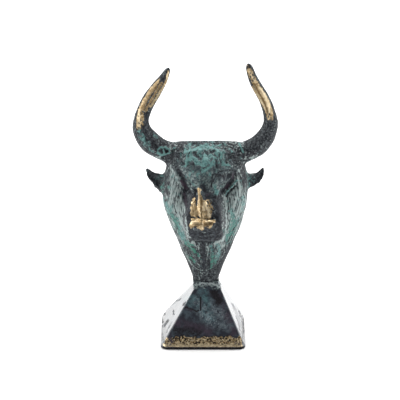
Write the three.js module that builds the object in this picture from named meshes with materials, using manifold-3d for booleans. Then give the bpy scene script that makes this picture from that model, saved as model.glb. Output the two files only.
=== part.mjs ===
// A bull's head on a narrowing neck, standing on a pyramid plinth: a small figure of cast brass.
// Millimetres, +Z up, +X to the viewer's right, the face towards -Y.
// The origin is the middle of the plinth's underside.
import * as THREE from 'three';
import { mergeVertices } from 'three/addons/utils/BufferGeometryUtils.js';
import Module from 'manifold-3d';

// Plinth: a rounded square base, four sloping faces and a low collar, set a little to one side
const BASE_WIDTH = 43.3;
const BASE_CORNER = 3;
const RIM_HEIGHT = 1.9;
const RIM_ROUNDING = 0.7;
const PYRAMID_TOP_Z = 26.2;
const PLINTH_TOP_Z = 30.2;
const PYRAMID_TOP_WIDTH = 13.6;
const PYRAMID_TOP_DEPTH = 10;
const COLLAR_WIDTH = 15.2;
const COLLAR_X = 2.1;
const COLLAR_DEPTH = 8.8;
const COLLAR_CORNER = 1.9;
const COLLAR_ROUNDING = 0.7;
const CORNER_STEPS = 4;

// Bust: everything on the head is measured from its own middle plane
const BUST_X = 1.4;
const POLL_Z = 105.8;
const POLL_Y = -1;
const POLL_FALL = 0.42;
const POLL_EDGE_SOFT = 2;
const FOREHEAD_EDGE_SOFT = 1.2;
const OVAL_POWER = 2.25;
const HEAD_COLUMNS = 64;
const HEAD_ROWS = 62;
const FRONT_CROWDING = 0.42;
const SEARCH_STEP = 0.5;
const SEARCH_END = 0.0001;

// Neck and skull, as [height, half size] seen from the front, in front of and behind the middle
const HALF_WIDTH = [[30.2, 6.6], [32, 6.8], [34, 7.5], [40, 9.7], [47, 12.6], [53.5, 15], [60, 17.7],
  [66.5, 19.9], [73, 21.2], [80, 21.9], [86, 21.4], [91, 20.3], [97, 19], [104.3, 17.2]];
const FRONT_DEPTH = [[30.2, 3.8], [32, 4.1], [35, 5], [40, 6.6], [46, 8.7], [52, 10.4], [58, 11.6],
  [66, 12.6], [78, 12.8], [88, 12.2], [95, 10.8], [100, 9], [104.3, 6.5]];
const BACK_DEPTH = [[30.2, 3.8], [32, 4.5], [36, 6.4], [42, 9.2], [50, 12.6], [60, 15.6], [70, 17.2],
  [80, 17.2], [90, 15], [99, 10.5], [104.3, 6]];

// Muzzle, as [height, size]: how far its front and its side walls stand from the middle
const MUZZLE_FRONT = [[58, 20.5], [61.2, 25.4], [63.4, 27], [66.5, 28.4], [70, 29.2], [72.8, 28.8],
  [75, 27.4], [80, 24], [85, 20], [90, 16.4], [95, 13.8], [99, 12]];
const MUZZLE_HALF_WIDTH = [[58, 7.8], [62, 8.8], [67, 9.4], [72, 9.2], [78, 7.8], [84, 7.2],
  [90, 7.6], [99, 9]];
const MUZZLE_CORNER = 4;
const MUZZLE_FLARE = 0.09;
const MUZZLE_TURN = THREE.MathUtils.degToRad(3.5);
const MUZZLE_PIVOT_Y = -8;
const MUZZLE_TOP_Z = 97;
const MUZZLE_TOP_SOFT = 6;
const MUZZLE_SOFT = 3.5;
const JAW = { frontY: -26, frontZ: 60.6, slope: 0.26, soft: 3 };
const MOUTH = { z: 63.6, curve: 0.02, halfHeight: 0.6, depth: 0.7, backY: -18, soft: 0.5 };

// Features of the face. A blob has a place and three half sizes, a rod two ends with a radius each,
// and soft is how wide the feature's edge runs into the skin. Those used on both sides are given for
// one. The nose stands a little off the muzzle's middle.
const NOSE_X = -0.7;
const CREASE = { at: [0, -28.4, 74.8], size: [7.6, 2, 1.3], soft: 1 };
const LIP_LOBE = { at: [3.7, -26.6, 71], size: [4.6, 3.8, 3.2], soft: 1.5 };
const NOSE_RIDGE = { from: [0, -19.6, 87], to: [0, -28.2, 71], radii: [1.6, 2.4], soft: 1.5 };
const NOSTRIL = { at: [5.8, -27.6, 74.6], size: [2.2, 2.4, 1.5], soft: 1 };
const SOCKET = { from: [9.6, -14.6, 88.6], to: [14, -12.4, 91.4], radii: [4.6, 3.6], soft: 1.2 };
const TEAR_GROOVE = { from: [13.6, -11.5, 87], to: [8.7, -17.2, 78], radii: [1.5, 0.8], soft: 1.5 };
const BRIDGE_LOBE = { from: [4.6, -13.6, 91.6], to: [4.8, -18, 84.8], radii: [3.1, 2.2], soft: 1.2 };
const BRIDGE_VALLEY = { from: [0, -17.6, 91.4], to: [0.3, -21.2, 84.6], radii: [2, 1.2], soft: 1.2 };
const EYEBALL = { from: [9.8, -9, 88.4], to: [12.6, -7.8, 90.6], radii: [3, 3], soft: 0.3 };
const EYE_RIM_SOFT = 1.2;
const EYE_RIMS = [
  { from: [5.6, -13.4, 91.4], to: [10, -12.4, 94.4], radii: [1.8, 2.2] },
  { from: [10, -12.4, 94.4], to: [16.4, -7.8, 94.2], radii: [2.2, 1.7] },
  { from: [8.4, -12.6, 85.6], to: [16.6, -7.4, 89.4], radii: [1.1, 1.3] },
];
const CHEEK = { at: [12.6, -4.6, 77], size: [7.4, 8.6, 13], soft: 4 };
const CHEEK_EDGE = { from: [12, -10.2, 82], to: [11, -12, 64], radii: [2.2, 1.9], soft: 1.5 };
const THROAT_FOLD_SOFT = 0.9;
const THROAT_FOLDS = [
  { from: [-6.3, -11.2, 56.5], to: [-2.2, -5.5, 40.2], radii: [3.2, 1.5] },
  { from: [-0.4, -11.2, 56.5], to: [0.2, -5.5, 40.2], radii: [3.2, 1.5] },
  { from: [5.5, -11.2, 56.5], to: [2.6, -5.5, 40.2], radii: [3.2, 1.5] },
];
const FOREHEAD = { at: [0, 0, 98.5], size: [15, 14.2, 8.5], soft: 3 };
const POLL_CREST = { from: [0, POLL_Y, 99.7], to: [20, 0, 99.5], radii: [5.5, 5.2], soft: 2 };
const CURL_ROWS = [6, 5, 4];
const CURL = { size: [2.8, 1.3, 2.1], soft: 0.8, topZ: 102.6, rise: 3.8, spacing: 5.4, droop: 0.012 };
const CURL_SEARCH_Y = -30;
const CURL_SEARCH_STEP = 0.1;
const CURL_SEARCH_MARGIN = 1;

// Where each row of the head's surface is looked for: a point on the middle line, and how many
// degrees its rays lean up or down at the front, the sides and the back
const HEAD_RAYS = [
  { at: 0, y: 0, z: PLINTH_TOP_Z, front: 0, side: 0, back: 0 },
  { at: 0.15, y: 0, z: 53, front: 0, side: 0, back: 0 },
  { at: 0.22, y: -2, z: 62, front: -24, side: 0, back: 0 },
  { at: 0.3, y: -4, z: 68, front: -20, side: 0, back: 0 },
  { at: 0.45, y: -5, z: 75, front: -15, side: 0, back: 2 },
  { at: 0.58, y: -4, z: 85, front: -13, side: 2, back: 4 },
  { at: 0.7, y: -3, z: 91.5, front: 0, side: 5, back: 8 },
  { at: 0.88, y: -1, z: 95.5, front: 34, side: 10, back: 26 },
  { at: 0.96, y: -1, z: 97, front: 62, side: 24, back: 60 },
  { at: 1, y: -1, z: 98, front: 90, side: 90, back: 90 },
];

// Horns, as the [x, height] of their middle line from root to tip, and [fraction, half thickness]
const HORN_LEFT = {
  path: [[-10, 97], [-17, 98.8], [-24.2, 101.8], [-29.7, 108.4], [-32.1, 115.5], [-30.9, 122],
    [-27.8, 128.4], [-22.8, 136.3], [-18, 144.8]],
  thickness: [[0, 5.4], [0.3, 5.1], [0.42, 4.4], [0.55, 3.7], [0.75, 3.4], [0.88, 2.7], [1, 1.7]],
};
const HORN_RIGHT = {
  path: [[10, 97], [18.3, 98.8], [26.4, 103.2], [30.4, 108.6], [32.5, 115.5], [31.2, 122],
    [28.9, 128.4], [24.5, 136.3], [20.7, 146]],
  thickness: [[0, 5.4], [0.3, 5], [0.42, 4.1], [0.55, 3.3], [0.7, 2.8], [0.88, 2.5], [1, 2.2]],
};
const HORN_SIDES = 12;
const HORN_STEPS = 26;
const HORN_ROOT_Y = 0.6;
const HORN_LEAN = 0.1;
const HORN_RIDGE = 0.07;

// Ears, as the [x, height] of their middle line from root to tip
const EAR_LEFT = [[-15, 81.5], [-20.5, 83.2], [-24.6, 84.8], [-27.8, 87], [-30.2, 90.7]];
const EAR_RIGHT = [[15, 81.5], [20.2, 83.4], [24, 84.8], [27.2, 86.8], [29.1, 90.9]];
const EAR_SIDES = 10;
const EAR_STEPS = 11;
const EAR_HALF_WIDTH = [[0, 4.4], [0.35, 4.5], [0.6, 3.5], [0.85, 1.9], [1, 0.9]];
const EAR_HALF_THICKNESS = 1.6;
const EAR_THINNING = 0.45;
const EAR_HOLLOW = 0.9;
const EAR_CUP = 1.3;
const EAR_OPENS_FROM = 0.25;
const EAR_OPENS_TO = 0.6;
const EAR_Y = 0.8;
const LIMB_END_STEPS = 3;
const LIMB_END_START = 0.96;

const { clamp, lerp, smoothstep } = THREE.MathUtils;

// A smooth curve through [position, value] knots
function through(knots) {
  const spline = new THREE.CubicInterpolant(knots.map((knot) => knot[0]), knots.map((knot) => knot[1]), 1);
  return (position) => spline.evaluate(position)[0];
}

// Signed distances from a point [x, y, z]: below zero inside the metal, above zero outside it
function blend(a, b, width) {
  const near = Math.max(width - Math.abs(a - b), 0) / width;
  return Math.min(a, b) - near * near * width / 4;
}

function trim(a, b, width) {
  return -blend(-a, -b, width);
}

function carve(body, hollow, width) {
  return trim(body, -hollow, width);
}

function blob(point, { at, size }) {
  const offset = point.map((value, i) => (value - at[i]) / size[i]);
  const scaled = Math.hypot(...offset);
  const steep = Math.hypot(...offset.map((value, i) => value / size[i]));
  return steep > 0 ? scaled * (scaled - 1) / steep : -Math.min(...size);
}

function rod(point, { from, to, radii }) {
  const axis = to.map((value, i) => value - from[i]);
  const offset = point.map((value, i) => value - from[i]);
  const dot = (a, b) => a[0] * b[0] + a[1] * b[1] + a[2] * b[2];
  const along = clamp(dot(offset, axis) / dot(axis, axis), 0, 1);
  return Math.hypot(...offset.map((value, i) => value - axis[i] * along)) - lerp(...radii, along);
}

const onOneSide = ([x, y, z]) => [Math.abs(x), y, z];

// Roof of the poll: it falls away in front of and behind the line between the horns
function roof([, y, z]) {
  return z - POLL_Z + POLL_FALL * Math.abs(y - POLL_Y);
}

// Neck and skull: ovals from the foot up to the poll, and a thick crest from horn to horn
const halfWidth = through(HALF_WIDTH);
const frontDepth = through(FRONT_DEPTH);
const backDepth = through(BACK_DEPTH);

function neckAndSkull(point) {
  const [x, y, z] = point;
  const width = halfWidth(z);
  const depth = y < 0 ? frontDepth(z) : backDepth(z);
  const across = Math.abs(x / width) ** OVAL_POWER;
  const along = Math.abs(y / depth) ** OVAL_POWER;
  const side = ((across + along) ** (1 / OVAL_POWER) - 1) * Math.min(width, depth);
  const skull = trim(side, roof(point), POLL_EDGE_SOFT);
  return blend(skull, rod(onOneSide(point), POLL_CREST), POLL_CREST.soft);
}

// Muzzle: a box with round corners whose front follows the nose, cut below by the jaw
const muzzleFront = through(MUZZLE_FRONT);
const muzzleHalfWidth = through(MUZZLE_HALF_WIDTH);

function muzzle([x, y, z]) {
  const flare = MUZZLE_FLARE * (y + muzzleFront(z));
  const acrossGap = Math.abs(x) - muzzleHalfWidth(z) - flare + MUZZLE_CORNER;
  const frontGap = -y - muzzleFront(z) + MUZZLE_CORNER;
  const corner = Math.hypot(Math.max(acrossGap, 0), Math.max(frontGap, 0));
  const walls = corner + Math.min(Math.max(acrossGap, frontGap), 0) - MUZZLE_CORNER;
  const jaw = JAW.frontZ - JAW.slope * (y - JAW.frontY) - z;
  const shut = trim(trim(walls, jaw, JAW.soft), z - MUZZLE_TOP_Z, MUZZLE_TOP_SOFT);
  return Math.max(shut, y - MUZZLE_PIVOT_Y);
}

// Nose and mouth: two lobes of the upper lip under a crease, with a nostril at each end of it
function noseAndMouth(body, point) {
  const [x, y, z] = point;
  const paired = onOneSide(point);
  let shape = blend(body, blob(paired, LIP_LOBE), LIP_LOBE.soft);
  shape = blend(shape, rod(point, NOSE_RIDGE), NOSE_RIDGE.soft);
  shape = carve(shape, blob(point, CREASE), CREASE.soft);
  shape = carve(shape, blob(paired, NOSTRIL), NOSTRIL.soft);
  const slit = Math.abs(z - MOUTH.z - MOUTH.curve * x * x) - MOUTH.halfHeight;
  return carve(shape, Math.max(slit, -muzzle(point) - MOUTH.depth, y - MOUTH.backY), MOUTH.soft);
}

// Eyes that slant down to the nose in their sockets, and the bridge between them
function eyesAndBridge(body, point) {
  const paired = onOneSide(point);
  let shape = carve(body, rod(paired, SOCKET), SOCKET.soft);
  shape = carve(shape, rod(paired, TEAR_GROOVE), TEAR_GROOVE.soft);
  shape = blend(shape, rod(paired, BRIDGE_LOBE), BRIDGE_LOBE.soft);
  shape = carve(shape, rod(point, BRIDGE_VALLEY), BRIDGE_VALLEY.soft);
  shape = blend(shape, rod(paired, EYEBALL), EYEBALL.soft);
  return EYE_RIMS.reduce((rimmed, rim) => blend(rimmed, rod(paired, rim), EYE_RIM_SOFT), shape);
}

// Cheeks, and three folds of skin under the chin that run together on the throat
function cheeksAndThroat(body, point) {
  const paired = onOneSide(point);
  let shape = blend(body, blob(paired, CHEEK), CHEEK.soft);
  shape = blend(shape, rod(paired, CHEEK_EDGE), CHEEK_EDGE.soft);
  return THROAT_FOLDS.reduce((folded, fold) => blend(folded, rod(point, fold), THROAT_FOLD_SOFT), shape);
}

function smoothHead(point) {
  const [x, y, z] = point;
  const [cos, sin] = [Math.cos(MUZZLE_TURN), Math.sin(MUZZLE_TURN)];
  const turnedX = x * cos - (y - MUZZLE_PIVOT_Y) * sin;
  const turnedY = MUZZLE_PIVOT_Y + x * sin + (y - MUZZLE_PIVOT_Y) * cos;
  let shape = cheeksAndThroat(neckAndSkull(point), point);
  shape = blend(shape, muzzle([turnedX, turnedY, z]), MUZZLE_SOFT);
  shape = blend(shape, blob(point, FOREHEAD), FOREHEAD.soft);
  shape = trim(shape, roof(point), FOREHEAD_EDGE_SOFT);
  shape = eyesAndBridge(shape, point);
  return noseAndMouth(shape, [turnedX - NOSE_X, turnedY, z]);
}

// Short curls in staggered rows, each seated on the forehead's skin
function curlsOnForehead() {
  const seated = [];
  CURL_ROWS.forEach((count, row) => {
    for (let i = 0; i < count; i += 1) {
      const x = (i - (count - 1) / 2) * CURL.spacing;
      const z = CURL.topZ - row * CURL.rise - CURL.droop * x * x;
      let y = CURL_SEARCH_Y;
      while (smoothHead([x, y, z]) > 0) y += CURL_SEARCH_STEP;
      seated.push({ at: [x, y, z], size: CURL.size });
    }
  });
  return seated;
}

const curls = curlsOnForehead();
const curlReach = Math.max(...CURL.size) + CURL_SEARCH_MARGIN;

function head(point) {
  const isNear = ({ at: [x, , z] }) => Math.max(Math.abs(point[0] - x), Math.abs(point[2] - z)) < curlReach;
  return curls.filter(isNear)
    .reduce((body, curl) => blend(body, blob(point, curl), CURL.soft), smoothHead(point));
}

const rayKnots = (key) => through(HEAD_RAYS.map((ray) => [ray.at, ray[key]]));
const rayY = rayKnots('y');
const rayZ = rayKnots('z');
const rayFront = rayKnots('front');
const raySide = rayKnots('side');
const rayBack = rayKnots('back');

// Walks out from the middle line along a ray until it leaves the metal, then closes in on the skin
function skinPoint(origin, direction) {
  const at = (distance) => origin.clone().addScaledVector(direction, distance);
  const isMetal = (distance) => head(at(distance).toArray()) < 0;
  let inside = 0;
  let outside = SEARCH_STEP;
  while (isMetal(outside)) {
    inside = outside;
    outside += SEARCH_STEP;
  }
  while (outside - inside > SEARCH_END) {
    const middle = (inside + outside) / 2;
    if (isMetal(middle)) inside = middle;
    else outside = middle;
  }
  return at(outside);
}

// Head and neck: a sphere whose points are moved out to the skin, with columns crowded at the front
function headGeometry() {
  const geometry = new THREE.SphereGeometry(1, HEAD_COLUMNS, HEAD_ROWS);
  const position = geometry.attributes.position;
  for (let i = 0; i < position.count; i += 1) {
    const row = HEAD_ROWS - Math.floor(i / (HEAD_COLUMNS + 1));
    const turn = (i % (HEAD_COLUMNS + 1)) / HEAD_COLUMNS * 2 * Math.PI;
    const around = turn + FRONT_CROWDING * Math.cos(turn);
    const flat = new THREE.Vector3(-Math.cos(around), -Math.sin(around), 0);
    if (row === 0) {
      position.setXYZ(i, 0, 0, PLINTH_TOP_Z);
      continue;
    }
    const at = Math.max(row - 1, 0) / (HEAD_ROWS - 1);
    const facing = flat.y < 0 ? rayFront(at) : rayBack(at);
    const lean = THREE.MathUtils.degToRad(lerp(raySide(at), facing, flat.y ** 2));
    const direction = flat.multiplyScalar(Math.cos(lean)).setZ(Math.sin(lean));
    const skin = skinPoint(new THREE.Vector3(0, rayY(at), rayZ(at)), direction);
    position.setXYZ(i, skin.x, skin.y, skin.z);
  }
  return geometry;
}

// Sweeps an oval along a line that lies nearly in the plane facing the viewer, with a round end
function sweep(line, sides, steps, section) {
  const geometry = new THREE.CylinderGeometry(1, 1, 1, sides, steps);
  const position = geometry.attributes.position;
  for (let i = 0; i < position.count; i += 1) {
    const row = (position.getY(i) + 0.5) * steps;
    const end = Math.max(row - steps + LIMB_END_STEPS, 0) / LIMB_END_STEPS * Math.PI / 2;
    const straight = Math.min(row / (steps - LIMB_END_STEPS), 1) * LIMB_END_START;
    const along = straight + (1 - LIMB_END_START) * Math.sin(end);
    const tangent = line.getTangentAt(along);
    const front = new THREE.Vector3(0, -1, 0).addScaledVector(tangent, tangent.y).normalize();
    const across = new THREE.Vector3().crossVectors(tangent, front);
    const around = Math.atan2(position.getX(i), position.getZ(i));
    const reach = Math.hypot(position.getX(i), position.getZ(i)) * Math.cos(end);
    const [acrossSize, frontSize] = section(along, around);
    const point = line.getPointAt(along);
    point.addScaledVector(across, acrossSize * reach).addScaledVector(front, frontSize * reach);
    position.setXYZ(i, ...point);
  }
  return geometry;
}

// Horn: nearly round, with a soft ridge down its front where the polished faces meet
function hornGeometry({ path, thickness }) {
  const lean = ([x, z]) => new THREE.Vector3(x, HORN_ROOT_Y - HORN_LEAN * (z - path[0][1]), z);
  const half = through(thickness);
  return sweep(new THREE.CatmullRomCurve3(path.map(lean)), HORN_SIDES, HORN_STEPS, (along, around) => {
    const ridge = 1 + HORN_RIDGE * Math.cos(4 * around);
    return [half(along) * Math.sin(around) * ridge, half(along) * Math.cos(around) * ridge];
  });
}

// Ear: a thick leaf, cupped towards the front
function earGeometry(path) {
  const line = new THREE.CatmullRomCurve3(path.map(([x, z]) => new THREE.Vector3(x, EAR_Y, z)));
  const half = through(EAR_HALF_WIDTH);
  return sweep(line, EAR_SIDES, EAR_STEPS, (along, around) => {
    const open = smoothstep(along, EAR_OPENS_FROM, EAR_OPENS_TO);
    const thick = EAR_HALF_THICKNESS * (1 - EAR_THINNING * along) * Math.cos(around);
    const hollow = EAR_HOLLOW * Math.max(Math.cos(around), 0) ** 2;
    const cup = EAR_CUP * Math.sin(around) ** 2;
    return [half(along) * Math.sin(around), thick + (cup - hollow) * open];
  });
}

// A ring of a rounded rectangle, as the points of its four quarter-round corners
function roundedRing(width, depth, corner, centreX) {
  const points = [];
  for (let i = 0; i < 4 * (CORNER_STEPS + 1); i += 1) {
    const quarter = Math.floor(i / (CORNER_STEPS + 1));
    const angle = (quarter + (i % (CORNER_STEPS + 1)) / CORNER_STEPS) * Math.PI / 2;
    const signX = quarter === 0 || quarter === 3 ? 1 : -1;
    const signY = quarter < 2 ? 1 : -1;
    const x = signX * (width / 2 - corner) + corner * Math.cos(angle);
    const y = signY * (depth / 2 - corner) + corner * Math.sin(angle);
    points.push(new THREE.Vector2(centreX + x, y));
  }
  return points;
}

// Plinth: rings from the underside over the rim and up the four faces to the collar
function plinthRings() {
  const rim = [[0, RIM_ROUNDING], [RIM_ROUNDING / 3, RIM_ROUNDING / 3], [RIM_ROUNDING, 0],
    [RIM_HEIGHT - RIM_ROUNDING, 0], [RIM_HEIGHT, RIM_ROUNDING / 2]];
  const rings = rim.map(([z, inset]) => {
    const width = BASE_WIDTH - 2 * inset;
    return { z, ring: roundedRing(width, width, BASE_CORNER - inset / 2, 0) };
  });
  const collar = [[PYRAMID_TOP_Z, PYRAMID_TOP_WIDTH, PYRAMID_TOP_DEPTH],
    [PYRAMID_TOP_Z + COLLAR_ROUNDING, COLLAR_WIDTH, COLLAR_DEPTH],
    [PLINTH_TOP_Z - COLLAR_ROUNDING, COLLAR_WIDTH, COLLAR_DEPTH],
    [PLINTH_TOP_Z, COLLAR_WIDTH - COLLAR_ROUNDING, COLLAR_DEPTH - COLLAR_ROUNDING]];
  for (const [z, width, depth] of collar) {
    rings.push({ z, ring: roundedRing(width, depth, COLLAR_CORNER, COLLAR_X) });
  }
  return rings;
}

function plinthGeometry() {
  const rings = plinthRings();
  const sides = rings[0].ring.length;
  const geometry = new THREE.CylinderGeometry(1, 1, 1, sides, rings.length - 1);
  const position = geometry.attributes.position;
  for (let i = 0; i < position.count; i += 1) {
    const { z, ring } = rings[Math.round((position.getY(i) + 0.5) * (rings.length - 1))];
    const turn = Math.atan2(position.getX(i), position.getZ(i)) / (2 * Math.PI);
    const isCentre = Math.hypot(position.getX(i), position.getZ(i)) < 0.5;
    const centre = new THREE.Vector2(z > RIM_HEIGHT ? COLLAR_X : 0, 0);
    const point = isCentre ? centre : ring[(Math.round(turn * sides) + sides) % sides];
    position.setXYZ(i, point.x, point.y, z);
  }
  return geometry;
}

function merged(geometry) {
  geometry.deleteAttribute('normal');
  geometry.deleteAttribute('uv');
  return mergeVertices(geometry);
}

const wasm = await Module();
wasm.setup();

function solid(geometry) {
  const clean = merged(geometry);
  return new wasm.Manifold(new wasm.Mesh({
    numProp: 3,
    vertProperties: new Float32Array(clean.attributes.position.array),
    triVerts: new Uint32Array(clean.index.array),
  }));
}

function geometryOf(manifold) {
  const { vertProperties, triVerts } = manifold.getMesh();
  const geometry = new THREE.BufferGeometry();
  geometry.setAttribute('position', new THREE.BufferAttribute(new Float32Array(vertProperties), 3));
  geometry.setIndex(new THREE.BufferAttribute(new Uint32Array(triVerts), 1));
  geometry.computeVertexNormals();
  return geometry;
}

function bustGeometry() {
  const horns = [hornGeometry(HORN_LEFT), hornGeometry(HORN_RIGHT)];
  const ears = [earGeometry(EAR_LEFT), earGeometry(EAR_RIGHT)];
  const limbs = [...horns, ...ears].map(solid);
  return geometryOf(limbs.reduce((body, limb) => body.add(limb), solid(headGeometry())));
}

const patina = new THREE.MeshStandardMaterial({ color: 0x3d5654, roughness: 0.5, metalness: 0.6 });
const slate = new THREE.MeshStandardMaterial({ color: 0x2c363d, roughness: 0.35, metalness: 0.7 });

const group = new THREE.Group();

const bust = new THREE.Mesh(bustGeometry(), patina);
bust.name = 'bull_head_bust';
bust.position.x = BUST_X;
group.add(bust);

const plinth = new THREE.Mesh(merged(plinthGeometry()), slate);
plinth.name = 'pyramid_plinth';
plinth.geometry.computeVertexNormals();
group.add(plinth);

export default group;
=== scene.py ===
# %% [markdown]
# A bull's head bust in patinated brass.
# The real thing is a small solid casting: a bull's head on a neck that narrows to a waist,
# standing on a low pyramid. It was coloured dark, brushed with turquoise, and rubbed back to
# bright brass on the horns, the nose and the foot. This lesson models its skin like clay, and
# then paints it.

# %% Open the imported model
import math

import bmesh
import bpy
import numpy as np
from mathutils import Matrix, Vector, noise
from mathutils.bvhtree import BVHTree


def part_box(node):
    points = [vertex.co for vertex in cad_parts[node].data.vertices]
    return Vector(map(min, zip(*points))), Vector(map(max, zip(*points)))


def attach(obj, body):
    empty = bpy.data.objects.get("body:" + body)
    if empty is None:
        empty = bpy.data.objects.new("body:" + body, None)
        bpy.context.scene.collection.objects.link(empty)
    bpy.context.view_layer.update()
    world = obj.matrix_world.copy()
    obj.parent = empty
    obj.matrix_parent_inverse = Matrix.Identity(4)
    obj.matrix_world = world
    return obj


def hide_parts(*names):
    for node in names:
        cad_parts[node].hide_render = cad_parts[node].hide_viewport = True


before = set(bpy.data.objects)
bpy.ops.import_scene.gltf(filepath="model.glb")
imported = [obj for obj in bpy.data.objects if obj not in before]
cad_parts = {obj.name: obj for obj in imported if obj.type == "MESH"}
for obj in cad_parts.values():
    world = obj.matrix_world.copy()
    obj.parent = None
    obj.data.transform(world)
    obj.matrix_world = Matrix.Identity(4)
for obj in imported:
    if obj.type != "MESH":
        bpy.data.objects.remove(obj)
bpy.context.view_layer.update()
scene = bpy.context.scene
MM = 0.001
print("nodes", sorted(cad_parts))

# %% [markdown]
# The camera comes first, because some strokes of the modelling tool are placed as the camera
# sees them. It stands a metre away and looks down by twenty degrees through a long lens.

# %% Camera
AIM = Vector((-1.575, 0, 73.6)) * MM
VIEW_DISTANCE = 1000 * MM
VIEW_ELEVATION = math.radians(20.4)
LENS = 177.1

camera_data = bpy.data.cameras.new("camera")
camera_data.lens = LENS
camera_data.sensor_width = 36
camera = bpy.data.objects.new("camera", camera_data)
scene.collection.objects.link(camera)
towards = Vector((0, -math.cos(VIEW_ELEVATION), math.sin(VIEW_ELEVATION)))
camera.location = AIM + towards * VIEW_DISTANCE
camera.rotation_euler = (math.pi / 2 - VIEW_ELEVATION, 0, 0)
scene.camera = camera

RIGHT = Vector((1, 0, 0))
UP = Vector((0, math.sin(VIEW_ELEVATION), math.cos(VIEW_ELEVATION)))


def seen(points):
    """Millimetres right of and above the aim point, as the camera sees each point."""
    offset = points - np.array(camera.location)
    depth = offset @ np.array(-towards)
    flat = np.column_stack((offset @ np.array(RIGHT), offset @ np.array(UP)))
    return flat * (VIEW_DISTANCE / depth)[:, None] / MM


print("camera at", [round(value, 4) for value in camera.location])

# %% [markdown]
# The floor is plain white paper. The light is a white tent: it is bright behind and at both
# sides, and dim in front and above the camera, so that metal that faces the camera stays dark
# while its edges and the sides of the plinth mirror the white around it.

# %% Floor and light
FLOOR_SIZE = 3.0

floor_shape = bmesh.new()
bmesh.ops.create_grid(floor_shape, x_segments=1, y_segments=1, size=FLOOR_SIZE / 2)
floor_mesh = bpy.data.meshes.new("floor")
floor_shape.to_mesh(floor_mesh)
floor_shape.free()
floor = bpy.data.objects.new("floor", floor_mesh)
scene.collection.objects.link(floor)
paper = bpy.data.materials.new("white_paper")
paper.use_nodes = True
paper_shader = paper.node_tree.nodes["Principled BSDF"]
paper_shader.inputs["Base Color"].default_value = (0.93, 0.93, 0.93, 1)
paper_shader.inputs["Roughness"].default_value = 0.9
paper_shader.inputs["Specular IOR Level"].default_value = 0.1
floor_mesh.materials.append(paper)


def lamp(name, place, size, power):
    """A soft rectangular lamp at a place in metres, facing the middle of the bust."""
    data = bpy.data.lights.new(name, "AREA")
    data.shape = "RECTANGLE"
    data.size, data.size_y = size
    data.energy = power
    light = bpy.data.objects.new(name, data)
    light.location = place
    light.rotation_euler = (Vector(place) - AIM).to_track_quat("Z", "Y").to_euler()
    scene.collection.objects.link(light)
    return light


lamp("left_tent", (-1.1, 0.1, 0.45), (1.4, 0.9), 9)
lamp("right_tent", (1.1, 0.2, 0.45), (1.4, 0.9), 8)
lamp("top_tent", (0, 0.6, 1.1), (1.8, 1.0), 20)

DIM_FRONT = 0.15
BRIGHT_BACK = 0.9
world = bpy.data.worlds.new("tent")
world.use_nodes = True
tent = world.node_tree
direction = tent.nodes.new("ShaderNodeTexCoord")
parts = tent.nodes.new("ShaderNodeSeparateXYZ")
tent.links.new(direction.outputs["Generated"], parts.inputs["Vector"])
fade = tent.nodes.new("ShaderNodeMapRange")
fade.interpolation_type = "SMOOTHSTEP"
for socket, value in (("From Min", -0.85), ("From Max", 0.2), ("To Min", DIM_FRONT), ("To Max", BRIGHT_BACK)):
    fade.inputs[socket].default_value = value
tent.links.new(parts.outputs["Y"], fade.inputs["Value"])
tent.links.new(fade.outputs["Result"], tent.nodes["Background"].inputs["Strength"])
tent.nodes["Background"].inputs["Color"].default_value = (1, 1, 1, 1)
scene.world = world
scene.view_settings.view_transform = "Standard"

# %% [markdown]
# The head is modelled the way a clay model is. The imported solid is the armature: a merged copy
# of it is remeshed into an even skin of small squares and smoothed, so that its facets go.

# %% Clay helpers
CORE_VOXEL = 0.55 * MM
SKIN_VOXEL = 0.43 * MM


def mesh_of(shape, name):
    """Turns a bmesh into a mesh and frees it."""
    mesh = bpy.data.meshes.new(name)
    shape.to_mesh(mesh)
    shape.free()
    return mesh


def remeshed(mesh, voxel, name):
    """An even skin of small squares around everything in the mesh."""
    lump = bpy.data.objects.new(name, mesh)
    scene.collection.objects.link(lump)
    modifier = lump.modifiers.new("skin", "REMESH")
    modifier.mode = "VOXEL"
    modifier.voxel_size = voxel
    modifier.use_smooth_shade = True
    depsgraph = bpy.context.evaluated_depsgraph_get()
    result = bpy.data.meshes.new_from_object(lump.evaluated_get(depsgraph))
    result.name = name
    bpy.data.objects.remove(lump)
    return result


def places(mesh):
    flat = np.empty(len(mesh.vertices) * 3)
    mesh.vertices.foreach_get("co", flat)
    return flat.reshape(-1, 3)


def move(mesh, points):
    mesh.vertices.foreach_set("co", points.ravel())
    mesh.update()


def normals(mesh):
    flat = np.empty(len(mesh.vertices) * 3)
    mesh.vertices.foreach_get("normal", flat)
    return flat.reshape(-1, 3)


def smoothed(mesh, rounds, strength=0.5, back=0.94, weight=1.0):
    """Draws each vertex towards the middle of its neighbours, and part of the way back."""
    edges = np.empty(len(mesh.edges) * 2, dtype=np.int64)
    mesh.edges.foreach_get("vertices", edges)
    start, end = edges.reshape(-1, 2).T
    count = len(mesh.vertices)
    share = np.bincount(start, minlength=count) + np.bincount(end, minlength=count)
    points = places(mesh)
    for step in ([strength, -strength * back] if back else [strength]) * rounds:
        total = np.column_stack([
            np.bincount(start, points[end, i], count) + np.bincount(end, points[start, i], count)
            for i in range(3)])
        points += (total / share[:, None] - points) * step * weight
    move(mesh, points)


# %% [markdown]
# A sculptor marks the clay before cutting it. The helpers below mark the skin in the same way:
# lines, ovals and outlines are drawn as the camera sees them, in millimetres right of and above
# the aim point, and each gives a soft value between 0 and 1 at every vertex.

# %% Drawing on the head
FACE_MIDDLE = 2.5


def ease(share):
    """0 to 1 with soft ends."""
    share = np.clip(share, 0, 1)
    return share * share * (3 - 2 * share)


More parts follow.
